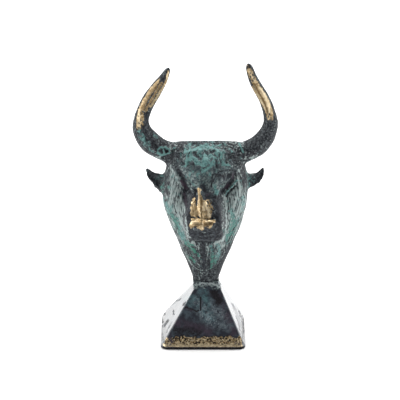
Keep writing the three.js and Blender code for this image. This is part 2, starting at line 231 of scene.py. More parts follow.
def distance_to(spots, line):
    """Millimetres from each seen place to a drawn line."""
    best = np.full(len(spots), np.inf)
    for start, end in zip(np.array(line[:-1]), np.array(line[1:])):
        run = end - start
        along = np.clip((spots - start) @ run / (run @ run), 0, 1)
        best = np.minimum(best, np.linalg.norm(spots - start - along[:, None] * run, axis=1))
    return best


def stroke(spots, line, width):
    """A soft stroke: 1 on the line, 0 from one width away."""
    return ease(1 - distance_to(spots, line) / width)


def patch(spots, middle, size):
    """A soft oval area: 1 in its middle, 0 at its edge."""
    return ease(1.5 - 1.5 * np.linalg.norm((spots - middle) / size, axis=1))


def within(spots, outline, soft):
    """1 inside a closed outline, 0 outside, with a soft border."""
    inside = np.zeros(len(spots), dtype=bool)
    for (x0, y0), (x1, y1) in zip(outline, outline[1:] + outline[:1]):
        if y0 != y1:
            crosses = (y0 > spots[:, 1]) != (y1 > spots[:, 1])
            inside ^= crosses & (spots[:, 0] < x0 + (spots[:, 1] - y0) * (x1 - x0) / (y1 - y0))
    edge = distance_to(spots, outline + outline[:1])
    return ease(0.5 + np.where(inside, edge, -edge) / soft)


def ripple(points, size, seed=0):
    """Smooth noise from about -1 to 1, with lumps of a size in millimetres."""
    return np.array([noise.noise(Vector(point)) for point in points / size + 17.3 * seed]) * 1.4


def facing(mesh):
    """1 where the skin faces the camera, 0 where it turns away."""
    return ease(normals(mesh) @ np.array(towards) * 4)


# %% [markdown]
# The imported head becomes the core. Its facets are smoothed away, and the face and the eye
# hollows are softened further, because the real ones are shallow and rounded.

# %% Core of the bust
EYE = (14.0, 10.8)


def both_sides(line):
    return [line, [(2 * FACE_MIDDLE - across, up) for across, up in line]]


core_shape = bmesh.new()
core_shape.from_mesh(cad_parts["bull_head_bust"].data)
bmesh.ops.remove_doubles(core_shape, verts=core_shape.verts, dist=0.002 * MM)
core = remeshed(mesh_of(core_shape, "core"), CORE_VOXEL, "core")
smoothed(core, 8)
spots = seen(places(core))
rough_face = np.maximum(patch(spots, (1, -7), (11, 9)), patch(spots, (2.5, 20), (26, 13))) * facing(core)
smoothed(core, 30, weight=rough_face[:, None], back=0.5)
eye_hollows = sum(patch(spots, middle, (9, 8)) for middle, in both_sides([EYE])) * facing(core)
smoothed(core, 90, weight=eye_hollows[:, None], back=0)
core_tree = BVHTree.FromPolygons(
    [vertex.co.copy() for vertex in core.vertices], [polygon.vertices[:] for polygon in core.polygons])


def seat(across, up):
    """The point of the core that the camera sees at that place, and the skin's direction."""
    target = AIM + RIGHT * across * MM + UP * up * MM
    spot, normal, _, _ = core_tree.ray_cast(camera.location, (target - camera.location).normalized())
    return spot, normal


print("core", len(core.vertices), "vertices")

# %% [markdown]
# Rolls and balls of clay are laid on the core where the real head stands proud: the lids and
# brows, the locks of hair on the forehead, the lips and the ridge of the nose. A roll is a
# string of small balls pressed together. Remeshing joins everything into one skin.

# %% Rolls and balls
clay = bmesh.new()
clay.from_mesh(core)


def ball(middle, size, lift=0.0, turn=0.0, half=None):
    """Presses an oval ball onto the core: half sizes across, up and out, turned about its middle."""
    spot, normal = seat(*middle)
    half = half or (size, size, size)
    pose = normal.to_track_quat("Z", "Y").to_matrix().to_4x4() @ Matrix.Rotation(math.radians(turn), 4, "Z")
    shape = Matrix.Diagonal([value * MM for value in half] + [1])
    place = Matrix.Translation(spot + normal * lift * MM)
    bmesh.ops.create_icosphere(clay, subdivisions=3, radius=1, matrix=place @ pose @ shape)


def roll(line, sizes, lift=0.0):
    """Presses a string of balls onto the core along a drawn line."""
    seats = [seat(*point) for point in line]
    spots = [spot + normal * lift * MM for spot, normal in seats if spot]
    for i in range(len(spots) - 1):
        steps = max(2, int((spots[i + 1] - spots[i]).length / (0.4 * MM)))
        for step in range(steps + (i == len(spots) - 2)):
            along = (i + step / steps) / (len(spots) - 1)
            size = np.interp(along, np.linspace(0, 1, len(sizes)), sizes)
            bmesh.ops.create_icosphere(clay, subdivisions=1, radius=size * MM,
                                       matrix=Matrix.Translation(spots[i].lerp(spots[i + 1], step / steps)))


# %% [markdown]
# The real eyes are narrow almonds under heavy brows. Each is a flat ball with a roll above it
# for the brow and a thinner one below it for the lower lid.

# %% Eyes and brows
BROW = [(6.4, 12.2), (8.6, 14.4), (11.7, 15.6), (16.4, 16.0)]
UNDER_LID = [(18.8, 10.2), (16.3, 7.1), (14.2, 4.6), (12.7, 2.0)]
for middle, in both_sides([(10.6, 11.4)]):
    ball(middle, 0, lift=-0.6, half=(4.0, 4.0, 2.6))
for middle, in both_sides([EYE]):
    ball(middle, 0, lift=-0.4, turn=45 if middle[0] > 0 else -45, half=(4.8, 2.7, 1.9))
for line in both_sides(BROW):
    roll(line, [0.6, 1.1, 1.3, 0.7], lift=-0.2)
for line in both_sides(UNDER_LID):
    roll(line, [0.5, 0.9, 0.8, 0.4], lift=-0.1)

# %% [markdown]
# The ears spring from a thick root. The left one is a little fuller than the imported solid.

# %% Root of the left ear
LEFT_EAR_ROOT = [(-21.6, 8.4), (-19.9, 6.9), (-18.6, 4.6)]
roll(LEFT_EAR_ROOT, [0.8, 1.3, 0.8])

# %% [markdown]
# A ridge runs down the middle of the nose to two round lips. The flat muzzle has a raised rim on
# both sides, and two lobes above it swell towards the inner corners of the eyes.

# %% Nose and mouth
RIDGE = [(-0.3, 6.4), (-0.3, 1.5), (0.3, -3.6), (0.8, -9.1), (1.3, -14.7)]
LIP_LEFT = (-2.2, -12.0)
LIP_RIGHT = (4.6, -11.8)
LOWER_LIP = [(-4.0, -19.0), (0.0, -19.6), (4.0, -19.4), (8.0, -18.2)]
BRIDGE_RIGHT = [(7.6, 9.1), (8.7, 4.6), (7.7, 0.6)]
BRIDGE_LEFT = [(-4.0, 9.6), (-3.8, 5.6), (-3.0, 3.4)]
MUZZLE_RIMS = [[(12.7, 2.0), (13.3, -7.1), (13.6, -15.2), (12.2, -18.8), (8.6, -21.2)],
               [(-8.2, -8.2), (-7.3, -14.2), (-6.4, -18.6), (-3.8, -21.6)]]
roll(RIDGE, [0.6, 0.9, 1.1, 0.9, 0.6], lift=-0.1)
ball(LIP_LEFT, 0, lift=-0.9, half=(3.4, 2.4, 2.0))
ball(LIP_RIGHT, 0, lift=-0.9, half=(3.6, 2.3, 2.0))
roll(LOWER_LIP, [0.6, 0.9, 0.9, 0.6], lift=-0.3)
roll(BRIDGE_RIGHT, [1.2, 1.8, 0.8], lift=-0.6)
roll(BRIDGE_LEFT, [1.2, 1.6, 0.8], lift=-0.6)
for line in MUZZLE_RIMS:
    roll(line, [0.5, 0.8, 0.8, 0.6, 0.4], lift=-0.3)

# %% [markdown]
# Curly locks cover the forehead. They are thin rolls, laid where the photographed casting has
# turquoise crests, so that the same lines can be painted later.

# %% Locks of hair on the forehead
TEAL_CURLS = [
    ([(-7.1, 17.3), (-6.6, 20.3), (-4.1, 21.8), (-2.0, 20.8), (-0.5, 18.8), (1.0, 17.3), (2.5, 18.8),
     (2.3, 21.8), (2.5, 23.4)], 1.5),
    ([(2.5, 21.8), (4.1, 19.8), (5.6, 17.8), (6.6, 19.8), (7.1, 21.8)], 1.4),
    ([(1.5, 14.7), (3.0, 15.5), (5.1, 16.5), (6.4, 18.8)], 1.4),
    ([(-7.1, 25.4), (-6.1, 23.9), (-6.6, 21.8)], 1.4),
    ([(-5.6, 28.5), (-3.0, 29.2), (-0.5, 29.0)], 1.4),
    ([(-2.5, 25.9), (-1.0, 26.7), (0.0, 24.9), (-1.5, 23.4)], 1.5),
    ([(0.5, 26.9), (2.5, 28.5), (5.1, 29.2), (7.1, 29.0)], 1.5),
    ([(3.0, 25.4), (5.6, 26.9), (7.1, 27.9)], 1.2),
    ([(8.1, 23.4), (9.7, 24.4), (11.2, 22.4)], 1.1),
    ([(9.7, 27.4), (11.7, 29.0), (13.2, 27.9), (12.2, 25.9)], 1.4),
    ([(10.2, 20.3), (11.2, 22.4), (12.2, 24.4)], 1.1),
    ([(11.2, 17.8), (13.2, 18.3), (15.2, 17.3)], 1.1),
    ([(9.1, 20.3), (11.2, 19.8), (12.7, 17.8)], 0.9),
    ([(-8.6, 27.4), (-7.6, 25.9), (-8.1, 23.9)], 1.1),
    ([(14.7, 26.4), (16.3, 24.4), (15.2, 22.4)], 0.9),
    ([(19.8, 29.0), (20.8, 26.9), (21.8, 24.4)], 1.1),
    ([(-13.2, 26.4), (-11.7, 26.9), (-10.7, 25.4)], 0.9),
    ([(-21.8, 24.9), (-20.3, 26.7), (-17.8, 26.9), (-15.8, 25.7), (-15.2, 23.9), (-17.3, 22.9),
     (-19.8, 22.9), (-21.8, 23.9)], 1.1),
    ([(-19.2, 26.4), (-18.3, 24.8), (-18.4, 23.3)], 0.9),
]
for line, width in TEAL_CURLS:
    roll(line, [0.5, 0.8, 0.8, 0.5], lift=-0.1)
print("clay", len(clay.verts), "vertices")

# %% [markdown]
# One skin is grown over the core and all the rolls. The horns of the casting taper more sharply
# than a solid of few facets can, so their ends are narrowed towards the line through the tip.

# %% Skin of the bust
BUST_X = 1.4
TIP_LENGTH = 9
TIP_NARROWING = 0.24

skin = remeshed(mesh_of(clay, "clay"), SKIN_VOXEL, "bust_skin")
smoothed(skin, 2)
points = places(skin) / MM
for side in (points[:, 0] < BUST_X, points[:, 0] >= BUST_X):
    top = points[side, 2].max()
    tip = points[side & (points[:, 2] > top - 2)].mean(axis=0)
    below = points[side & (np.abs(points[:, 2] - top + TIP_LENGTH) < 1)].mean(axis=0)
    run = (tip - below) / np.linalg.norm(tip - below)
    from_line = points - below - ((points - below) @ run)[:, None] * run
    end = side * TIP_NARROWING * ease((points[:, 2] - top + TIP_LENGTH) / TIP_LENGTH)
    points -= from_line * end[:, None]
print("horn tips at", round(top, 1), "mm and near it")

# %% [markdown]
# Four places are pushed, a millimetre or so: the bend of the left horn outwards, the right
# cheek inwards, the left ear's root outwards and the right horn's tip up.

# %% Push the skin into place
PUSHES = [((-29.0, 32.5), (9, 14), (-1.1, -0.4)), ((24.0, -1.0), (8, 12), (-0.8, 0.0)),
          ((-20.6, 6.4), (4, 5), (-1.0, -0.6)), ((24.4, 68.0), (6, 9), (-0.3, 1.1))]
spots = seen(points * MM)
for middle, size, (across, up) in PUSHES:
    area = patch(spots, middle, size)
    points[:, 0] += across * area
    points[:, 2] += up * area
move(skin, points * MM)
bust = bpy.data.objects.new("bust", skin)
scene.collection.objects.link(bust)
print("bust", len(skin.vertices), "vertices", sum(len(p.vertices) - 2 for p in skin.polygons), "triangles")

# %% [markdown]
# The head has zones with a surface of their own: horns, muzzle, forehead, neck and flanks. Hair
# runs down the neck in long strokes, so its noise is stretched along the height.

# %% Zones and textures of the head
points = places(skin) / MM
spots = seen(places(skin))
faced = normals(skin) @ np.array(towards)
front = ease((faced - 0.08) * 4)
turn = np.arctan2(points[:, 0] - BUST_X, -points[:, 1])
flow = np.column_stack((15 * np.sin(turn), -15 * np.cos(turn), points[:, 2] / 7))
wavy_flow = flow + ripple(points, 9, 1)[:, None] * 0.8
hair = ripple(wavy_flow, 1.2, 2)
worms = 1 - 3 * np.abs(ripple(points, 2.3, 3))
grain = ripple(points, 0.9, 4)
lumps = ripple(points, 6, 5)
height_z = points[:, 2]
horn = ease((np.abs(points[:, 0] - BUST_X) - 17) / 3) * ease((height_z - 97) / 3)
horn = np.maximum(horn, ease((height_z - 107) / 2))
muzzle = ease((-points[:, 1] - 13.5) / 3) * ease((90 - height_z) / 6) * ease((height_z - 56) / 3)
forehead = patch(spots, (3, 23), (27, 13)) * ease((points[:, 1] * -1 + 4) / 4) * (1 - horn)
neck_end = ease((46 - height_z) / 8)
flank = (1 - muzzle) * (1 - forehead) * (1 - neck_end) * (1 - horn)
crown = ease((height_z - 92) / 10)
print("flank covers", round(float(flank.mean()), 2))

# %% [markdown]
# Real tool marks are never quite straight, so each drawn line wanders a little.

# %% Strokes on the skin
wander = spots + 0.3 * np.column_stack((ripple(points, 1.2, 6), ripple(points, 1.2, 7)))


def drawn(strokes, strength=1.0, side=None):
    """Several strokes, each given as a line, its width and its strength. They go on the front if no side is given."""
    value = np.zeros(len(wander))
    for line, width, *own in strokes:
        value = np.maximum(value, (own[0] if own else strength) * stroke(wander, line, width))
    return value * (front if side is None else side)


def scaled(strokes, share):
    """The same strokes, wider or narrower."""
    return [(line, width * share, *own) for line, width, *own in strokes]


# %% [markdown]
# The dark lines of the casting are hollows: between the curls, round the eyes, along the horns
# and under the nose. Small pits in the bare metal are casting flaws that were never filled.

# %% Hollows and pits
DARK_CURLS = [
    ([(-3.6, 23.9), (-1.5, 21.8), (0.5, 21.3)], 1.3),
    ([(-4.6, 19.3), (-3.0, 17.8)], 1.6),
    ([(0.5, 20.3), (1.0, 22.4)], 0.8),
    ([(4.1, 25.9), (6.1, 23.9), (7.1, 24.9)], 0.9),
    ([(8.1, 20.8), (8.4, 18.3), (8.6, 16.3)], 1.0),
    ([(0.0, 16.3), (2.0, 16.3), (3.6, 17.0)], 0.6),
    ([(2.0, 25.4), (3.6, 23.4), (4.6, 21.8)], 0.8),
    ([(-2.0, 26.9), (-0.5, 27.9)], 0.6),
    ([(0.5, 29.5), (1.5, 27.9)], 0.7),
    ([(7.1, 26.9), (8.1, 29.0)], 0.6),
    ([(9.7, 22.4), (10.7, 18.8)], 0.7),
    ([(-6.1, 22.4), (-5.1, 24.4)], 0.6),
    ([(14.2, 21.3), (17.3, 22.4), (20.3, 22.9)], 1.6),
    ([(13.2, 20.3), (13.7, 18.8)], 0.8),
    ([(-10.2, 20.3), (-8.1, 18.3)], 1.1),
    ([(-12.2, 22.9), (-10.7, 21.3)], 1.1),
    ([(-14.2, 24.9), (-13.7, 22.9)], 0.8),
    ([(-18.3, 21.8), (-16.3, 22.9)], 0.9),
    ([(-20.4, 25.2), (-19.8, 24.2)], 0.7),
    ([(-17.2, 25.4), (-16.8, 24.4)], 0.7),
]
FACE_GROOVES = [
    ([(-11.4, 15.4), (-10.2, 13.4), (-8.4, 9.7), (-6.6, 6.1), (-4.8, 3.3), (-3.3, 1.0)], 1.8, 0.9),
    ([(6.6, 9.7), (7.6, 12.7), (9.7, 14.5), (13.2, 15.3), (17.8, 14.7)], 1.1, 0.8),
    ([(18.0, 14.0), (16.8, 10.7), (14.7, 7.9), (12.7, 5.8), (10.9, 3.6), (9.1, 0.0)], 1.7, 1.0),
    ([(18.0, 7.1), (15.2, 4.3), (13.2, 1.5)], 0.8, 0.8),
    ([(6.4, 12.7), (5.8, 9.7), (5.8, 6.6)], 1.0, 0.8),
    ([(-2.0, 5.1), (-2.5, 2.0), (-2.3, -1.0)], 1.0, 0.7),
    ([(-12.7, 8.1), (-10.2, 5.1), (-8.1, 1.5)], 0.8, 0.6),
    ([(-5.1, -20.1), (-2.0, -21.1), (2.0, -21.5), (6.6, -21.3), (10.2, -19.8)], 1.0, 1.0),
    ([(-1.5, -16.8), (2.0, -17.0), (5.6, -16.5)], 0.6, 0.4),
]
EYE_MOTTLES = [
    ([(11.7, 13.2), (12.2, 9.7)], 0.8, 0.8),
    ([(14.2, 14.2), (14.7, 11.2)], 0.9, 0.7),
    ([(8.9, 13.2), (9.7, 10.2)], 0.7, 0.6),
    ([(15.8, 9.7), (13.7, 8.1)], 0.8, 0.7),
]
NOSE_PITS = [
    ([(3.6, -0.8), (4.0, -1.4)], 0.8, 1.0),
    ([(2.5, 0.5), (2.8, 0.1)], 0.5, 0.9),
    ([(3.6, -3.0), (3.9, -3.5)], 0.6, 1.0),
    ([(4.8, -2.8), (5.1, -3.3)], 0.5, 1.0),
    ([(5.7, -1.9), (6.4, -2.5)], 0.7, 1.0),
    ([(5.8, -4.6), (6.4, -5.6)], 0.7, 1.0),
    ([(4.9, -6.4), (5.2, -6.9)], 0.5, 0.9),
    ([(2.7, -4.8), (2.9, -5.2)], 0.5, 0.8),
    ([(3.0, -7.4), (3.3, -7.8)], 0.5, 0.9),
    ([(-2.0, 0.0), (-1.8, -3.0)], 0.7, 1.0),
    ([(-1.7, -4.6), (-1.6, -4.9)], 0.5, 0.8),
    ([(-4.1, -2.5), (-3.9, -3.0)], 0.5, 0.8),
    ([(-3.3, -5.8), (-3.0, -6.3)], 0.4, 0.7),
    ([(-4.1, -8.6), (-2.8, -8.9)], 0.8, 1.0),
    ([(-1.0, -8.5), (-0.3, -8.9)], 0.7, 1.0),
    ([(3.0, -9.7), (4.6, -9.6)], 0.7, 1.0),
    ([(1.8, 1.8), (3.0, 1.2)], 0.8, 1.0),
    ([(5.0, -0.3), (5.4, -1.3)], 0.6, 0.9),
    ([(-3.0, -13.4), (-1.8, -14.0)], 0.6, 0.9),
    ([(3.6, -13.2), (4.4, -13.6)], 0.6, 0.9),
]
HORN_PITS = [
    ([(25.5, 64.8), (25.7, 64.4)], 0.5, 0.9),
    ([(26.6, 63.7), (26.8, 63.3)], 0.5, 0.9),
    ([(25.7, 62.5), (26.0, 62.1)], 0.5, 0.9),
    ([(27.4, 62.0), (27.6, 61.5)], 0.5, 0.8),
    ([(26.7, 60.7), (26.9, 60.4)], 0.5, 0.8),
    ([(-30.2, 44.2), (-30.0, 43.7)], 0.5, 0.8),
    ([(-29.2, 45.2), (-29.0, 44.7)], 0.5, 0.8),
    ([(-31.2, 42.7), (-31.1, 42.2)], 0.4, 0.7),
    ([(-30.0, 40.9), (-29.8, 40.4)], 0.6, 0.9),
    ([(-28.7, 39.6), (-28.5, 39.1)], 0.6, 0.9),
    ([(-30.9, 39.4), (-30.7, 38.9)], 0.5, 0.8),
    ([(-29.7, 38.1), (-29.5, 37.6)], 0.6, 0.9),
    ([(-31.2, 37.1), (-31.0, 36.6)], 0.5, 0.8),
    ([(35.3, 44.0), (35.5, 43.4)], 0.5, 0.9),
    ([(34.7, 42.4), (34.8, 41.9)], 0.5, 0.9),
    ([(36.0, 41.9), (36.1, 41.4)], 0.6, 0.9),
]
HORN_CHANNELS = [
    ([(-19.3, 59.5), (-21.6, 55.9), (-24.1, 51.8), (-26.2, 48.3), (-27.5, 45.2)], 1.2, 0.8),
    ([(27.6, 58.9), (29.5, 55.1), (31.4, 51.6), (33.3, 47.4), (34.4, 43.4)], 1.1, 1.0),
    ([(27.9, 58.7), (29.9, 59.7)], 0.5, 1.0),
    ([(25.7, 63.0), (26.9, 61.0)], 0.5, 0.6),
]
HORN_DARKS = [
    ([(-27.2, 44.7), (-26.9, 40.7), (-26.4, 36.6)], 1.2, 1.0),
    ([(-29.0, 37.6), (-27.4, 33.5), (-24.4, 30.0), (-21.8, 26.9)], 0.9, 1.0),
    ([(-19.6, 62.5), (-18.3, 61.5)], 0.9, 0.9),
    ([(-31.2, 40.1), (-30.7, 38.1)], 0.5, 0.7),
    ([(24.9, 66.8), (25.2, 65.8)], 0.7, 0.7),
]
CREASE = [([(-4.6, -8.8), (-1.0, -8.9), (2.0, -9.5), (6.2, -9.4)], 0.5)]
NOSTRILS = [([(-4.4, -8.8), (-3.4, -8.6)], 0.9), ([(4.0, -9.4), (6.0, -9.4)], 0.9)]
print("hollows", len(DARK_CURLS + FACE_GROOVES + EYE_MOTTLES), "pits", len(NOSE_PITS + HORN_PITS))

# %% [markdown]
# The finer relief is pressed into the skin: each vertex moves in or out along its own normal,
# by up to a millimetre or two. This gives real shadows, which bump in a material would not.

# %% Press the relief
lift = 0.12 * lumps
lift += 0.06 * hair * flank * (1 - crown)
lift += 0.16 * worms * forehead
lift += 0.05 * grain * (1 - horn) * (1 - muzzle)
lift -= 0.5 * drawn(DARK_CURLS)
lift -= 0.9 * drawn(FACE_GROOVES) + 0.3 * drawn(EYE_MOTTLES)
lift -= 1.0 * patch(spots, (2.6, 6.8), (3.4, 5.0)) * front
lift -= 0.5 * drawn(CREASE) + 0.5 * drawn(NOSTRILS) + 0.3 * drawn(NOSE_PITS + HORN_PITS)
lift -= 0.4 * drawn(HORN_CHANNELS) + 0.3 * drawn(HORN_DARKS)
shaped = points + normals(skin) * np.clip(lift, -2.2, 1.2)[:, None]
move(skin, shaped * MM)
print("relief from", round(lift.min(), 2), "to", round(lift.max(), 2), "mm")

# %% [markdown]
# The nose is rubbed back to bare metal inside a ragged outline. On the horns the metal shows on
# two long facets, with a tarnished channel between them and a dark line along the outer edge.

# %% Bare metal
NOSE_OUTLINE = [
    (-0.9, 6.4), (0.4, 5.8), (0.5, 4.3), (0.3, 3.0), (1.3, 1.0), (1.8, -0.3), (3.0, 0.3), (5.2, 0.3),
    (6.0, -1.0), (6.1, -2.8), (6.8, -4.3), (6.4, -5.6), (5.7, -7.1), (5.6, -8.4), (5.4, -9.3), (7.8, -10.2),
    (8.0, -11.3), (6.9, -11.7), (6.4, -12.9), (5.6, -14.1), (4.8, -14.4), (3.3, -13.7), (2.2, -13.7),
    (1.7, -15.0), (0.8, -15.4), (-0.3, -14.7), (-1.5, -14.6), (-2.6, -14.0), (-3.8, -14.0), (-4.6, -14.6),
    (-5.5, -13.2), (-5.1, -11.9), (-4.4, -10.4), (-4.3, -9.1), (-4.9, -8.1), (-5.2, -6.6), (-4.7, -5.3),
    (-4.6, -3.0), (-4.2, -1.0), (-4.1, 0.5), (-3.5, 1.4), (-2.7, 1.3), (-2.5, 0.0), (-2.4, -1.8),
    (-1.8, -2.5), (-1.4, -1.5), (-1.1, 0.5), (-1.0, 2.5), (-1.5, 4.3), (-1.4, 5.6)]
HORN_FACETS = [
    ([(-21.3, 60.5), (-25.2, 55.9), (-28.2, 51.1), (-30.3, 46.2), (-31.2, 41.7), (-31.0, 37.1)], 2.3, 1.0),
    ([(-22.6, 57.9), (-26.2, 53.4), (-28.7, 48.3), (-29.7, 43.7), (-29.5, 38.6)], 2.0, 1.0),
    ([(-16.3, 65.3), (-16.6, 62.0), (-17.8, 58.9), (-20.1, 55.1), (-22.6, 51.1), (-24.9, 47.5)], 1.1, 1.0),
    ([(25.2, 65.5), (26.2, 63.0), (27.7, 60.0)], 2.4, 1.0),
    ([(27.6, 60.5), (30.6, 56.1), (33.2, 51.8), (35.2, 47.3), (36.0, 44.2), (35.9, 41.7)], 2.2, 1.0),
    ([(26.4, 57.4), (28.7, 54.4), (31.0, 50.3), (33.3, 45.7), (34.8, 41.2)], 1.1, 1.0),
    ([(24.1, 68.6), (25.2, 65.5)], 1.3, 0.5),
]
# Brown strokes: tarnish along the ridge and in the creases, and painted shade along the lower sides of the lips.
NOSE_BROWN_AND_LIP_SHADE = [
    ([(0.6, 1.5), (0.8, -4.1), (1.1, -8.6)], 0.7, 0.9),
    ([(3.0, -5.6), (3.4, -8.6)], 0.6, 0.6),
    ([(5.3, -3.6), (5.8, -6.6)], 1.0, 0.5),
    ([(0.8, -10.4), (1.2, -13.2)], 0.8, 0.7),
    ([(2.0, -13.2), (4.1, -12.8), (6.1, -11.9)], 1.7, 0.9),
    ([(-2.6, -13.2), (-1.2, -12.6), (0.2, -13.4)], 1.1, 0.55),
    ([(-3.4, -2.6), (-3.2, -6.4), (-1.6, -7.2)], 1.6, 0.35),
    ([(-0.9, 3.6), (-0.7, 0.5)], 0.4, 0.5),
    ([(-4.3, -4.6), (-4.2, -7.1)], 0.6, 0.4),
    ([(-4.8, -13.5), (-3.0, -14.0), (-1.0, -13.5)], 1.2, 0.75),
    ([(-5.7, -12.2), (-5.1, -13.5)], 0.6, 0.6),
]
HORN_BROWN = [
    ([(-22.0, 58.9), (-25.6, 53.9), (-28.2, 48.8), (-29.7, 44.7)], 3.0, 0.62),
    ([(-20.6, 60.5), (-24.4, 55.6)], 1.6, 0.55),
    ([(-17.3, 62.0), (-19.1, 57.4), (-22.4, 52.3)], 0.8, 0.35),
    ([(-29.2, 42.2), (-29.1, 37.6)], 0.8, 0.6),
    ([(25.9, 58.9), (28.5, 54.9), (30.5, 51.3)], 0.5, 0.5),
    ([(33.0, 46.7), (34.6, 42.2)], 0.7, 0.5),
    ([(35.8, 46.7), (36.0, 42.2)], 0.7, 0.5),
    ([(28.2, 57.9), (29.5, 55.9)], 0.9, 0.8),
]
# Painted highlights: bright strokes on the bare metal of the nose and lips.
NOSE_HIGHLIGHTS = [
    ([(2.0, -1.5), (2.0, -5.1)], 0.8, 1.0),
    ([(4.4, -5.0), (4.8, -8.8)], 1.4, 1.0),
    ([(3.2, -1.4), (3.6, -5.0)], 1.0, 0.9),
    ([(1.8, -8.9), (2.2, -9.3)], 0.5, 1.0),
    ([(0.2, 5.3), (0.3, 3.8)], 0.6, 1.0),
    ([(-4.7, -11.9), (-4.1, -11.1), (-2.5, -10.8)], 0.7, 0.6),
    ([(3.0, -10.6), (6.1, -10.8)], 0.5, 0.6),
    ([(1.3, -12.7), (1.2, -14.5)], 0.6, 0.7),
]
# Painted highlights: bright strokes along the facets of the horns.
HORN_HIGHLIGHTS = [
    ([(-30.7, 45.7), (-31.1, 41.7), (-30.7, 37.6)], 1.2, 0.75),
    ([(-16.4, 64.5), (-17.0, 61.5)], 0.5, 0.6),
    ([(-20.1, 55.1), (-22.6, 51.1)], 0.5, 0.4),
    ([(25.3, 65.3), (27.7, 60.7)], 0.8, 0.8),
    ([(30.5, 57.2), (32.9, 52.8), (34.8, 48.3), (35.6, 44.6)], 1.1, 1.0),
    ([(29.0, 53.9), (31.2, 49.8), (33.4, 45.5), (34.8, 41.7)], 0.5, 0.8),
]
HORN_OUTLINES = [
    ([(-21.3, 61.7), (-25.9, 56.7), (-29.2, 51.6), (-31.5, 46.7), (-32.7, 42.2), (-32.8, 37.6)], 0.6, 0.9),
    ([(-18.8, 61.7), (-20.3, 60.2)], 1.0, 0.8),
    ([(27.2, 65.5), (29.9, 61.0), (32.7, 55.9), (35.3, 51.1), (37.2, 46.2)], 0.5, 0.8),
]
nose = within(wander, NOSE_OUTLINE, 0.5) * front * (1 - drawn(NOSE_PITS))
nose *= 1 - 0.24 * patch(spots, (5.2, -3.0), (3.0, 6.0))
horn_brass = np.clip(np.maximum(drawn(HORN_FACETS), 1.25 * drawn(HORN_CHANNELS)), 0, 1)
horn_brass *= 1 - drawn(HORN_OUTLINES + scaled(HORN_PITS, 1.4))
back = ease((-faced - 0.2) * 4)
brass = np.maximum(np.maximum(nose, horn_brass), drawn(HORN_FACETS, side=0.75 * back))
tarnish_and_lip_shade = np.maximum(drawn(HORN_CHANNELS + HORN_BROWN + NOSE_BROWN_AND_LIP_SHADE), drawn(CREASE + NOSTRILS, 0.8))
print("bare metal covers", round(float(brass.mean()), 3))

# %% [markdown]
# The patina was brushed on in strokes: turquoise where it was thick, pale where it was wiped off
# the edges, dark or plum where it lay in a hollow. Some pale strokes are painted highlights, all or
# in part: the rims of the muzzle, two arcs under the lips and glints at the roots of the ears. One
# dark stroke is painted shade under the left brow. These are the strokes that the photo shows.

# %% Strokes of patina
TEAL_STROKES = [
    ([(18.8, 10.2), (16.3, 6.9), (14.2, 4.6), (12.7, 2.0)], 0.8, 1.0),
    ([(7.1, 7.6), (8.6, 4.1), (7.9, 1.0)], 2.4, 0.75),
    ([(-6.6, 11.7), (-3.6, 8.6)], 3.0, 0.5),
    ([(-17.3, -2.0), (-14.7, -6.6), (-12.2, -11.2), (-10.2, -15.8), (-8.6, -19.3)], 3.0, 0.7),
    ([(16.3, -6.1), (17.3, -10.7), (15.8, -15.2), (14.2, -19.3)], 3.0, 0.7),
    ([(21.8, 2.0), (21.8, -5.1)], 1.8, 0.6),
    ([(-18.8, 13.2), (-17.3, 9.1), (-16.3, 4.1)], 2.6, 0.6),
    ([(20.3, 12.2), (21.8, 7.1)], 2.2, 0.5),
    ([(-7.1, -21.8), (-4.1, -24.9), (-0.5, -28.5)], 1.7, 0.85),
    ([(-6.1, -28.5), (-2.5, -31.5)], 1.3, 0.7),
    ([(5.6, -23.4), (6.6, -29.0), (5.1, -34.6)], 1.8, 0.75),
    ([(-7.1, -19.8), (-5.1, -22.4), (-3.0, -23.4)], 1.0, 0.7),
    ([(11.7, -15.2), (13.7, -19.3)], 1.6, 0.6),
    ([(9.4, -22.6), (9.9, -26.4), (7.6, -31.5)], 2.6, 0.6),
    ([(-18.6, -7.6), (-15.2, -15.8), (-11.2, -24.9)], 1.8, 0.5),
    ([(19.8, -8.6), (17.3, -15.8), (14.2, -22.9)], 1.7, 0.5),
    ([(-0.5, 14.2), (3.0, 12.7), (2.0, 16.3)], 2.6, 0.5),
    ([(-6.6, 12.7), (-0.5, 13.2), (6.1, 12.2)], 4.0, 0.45),
]
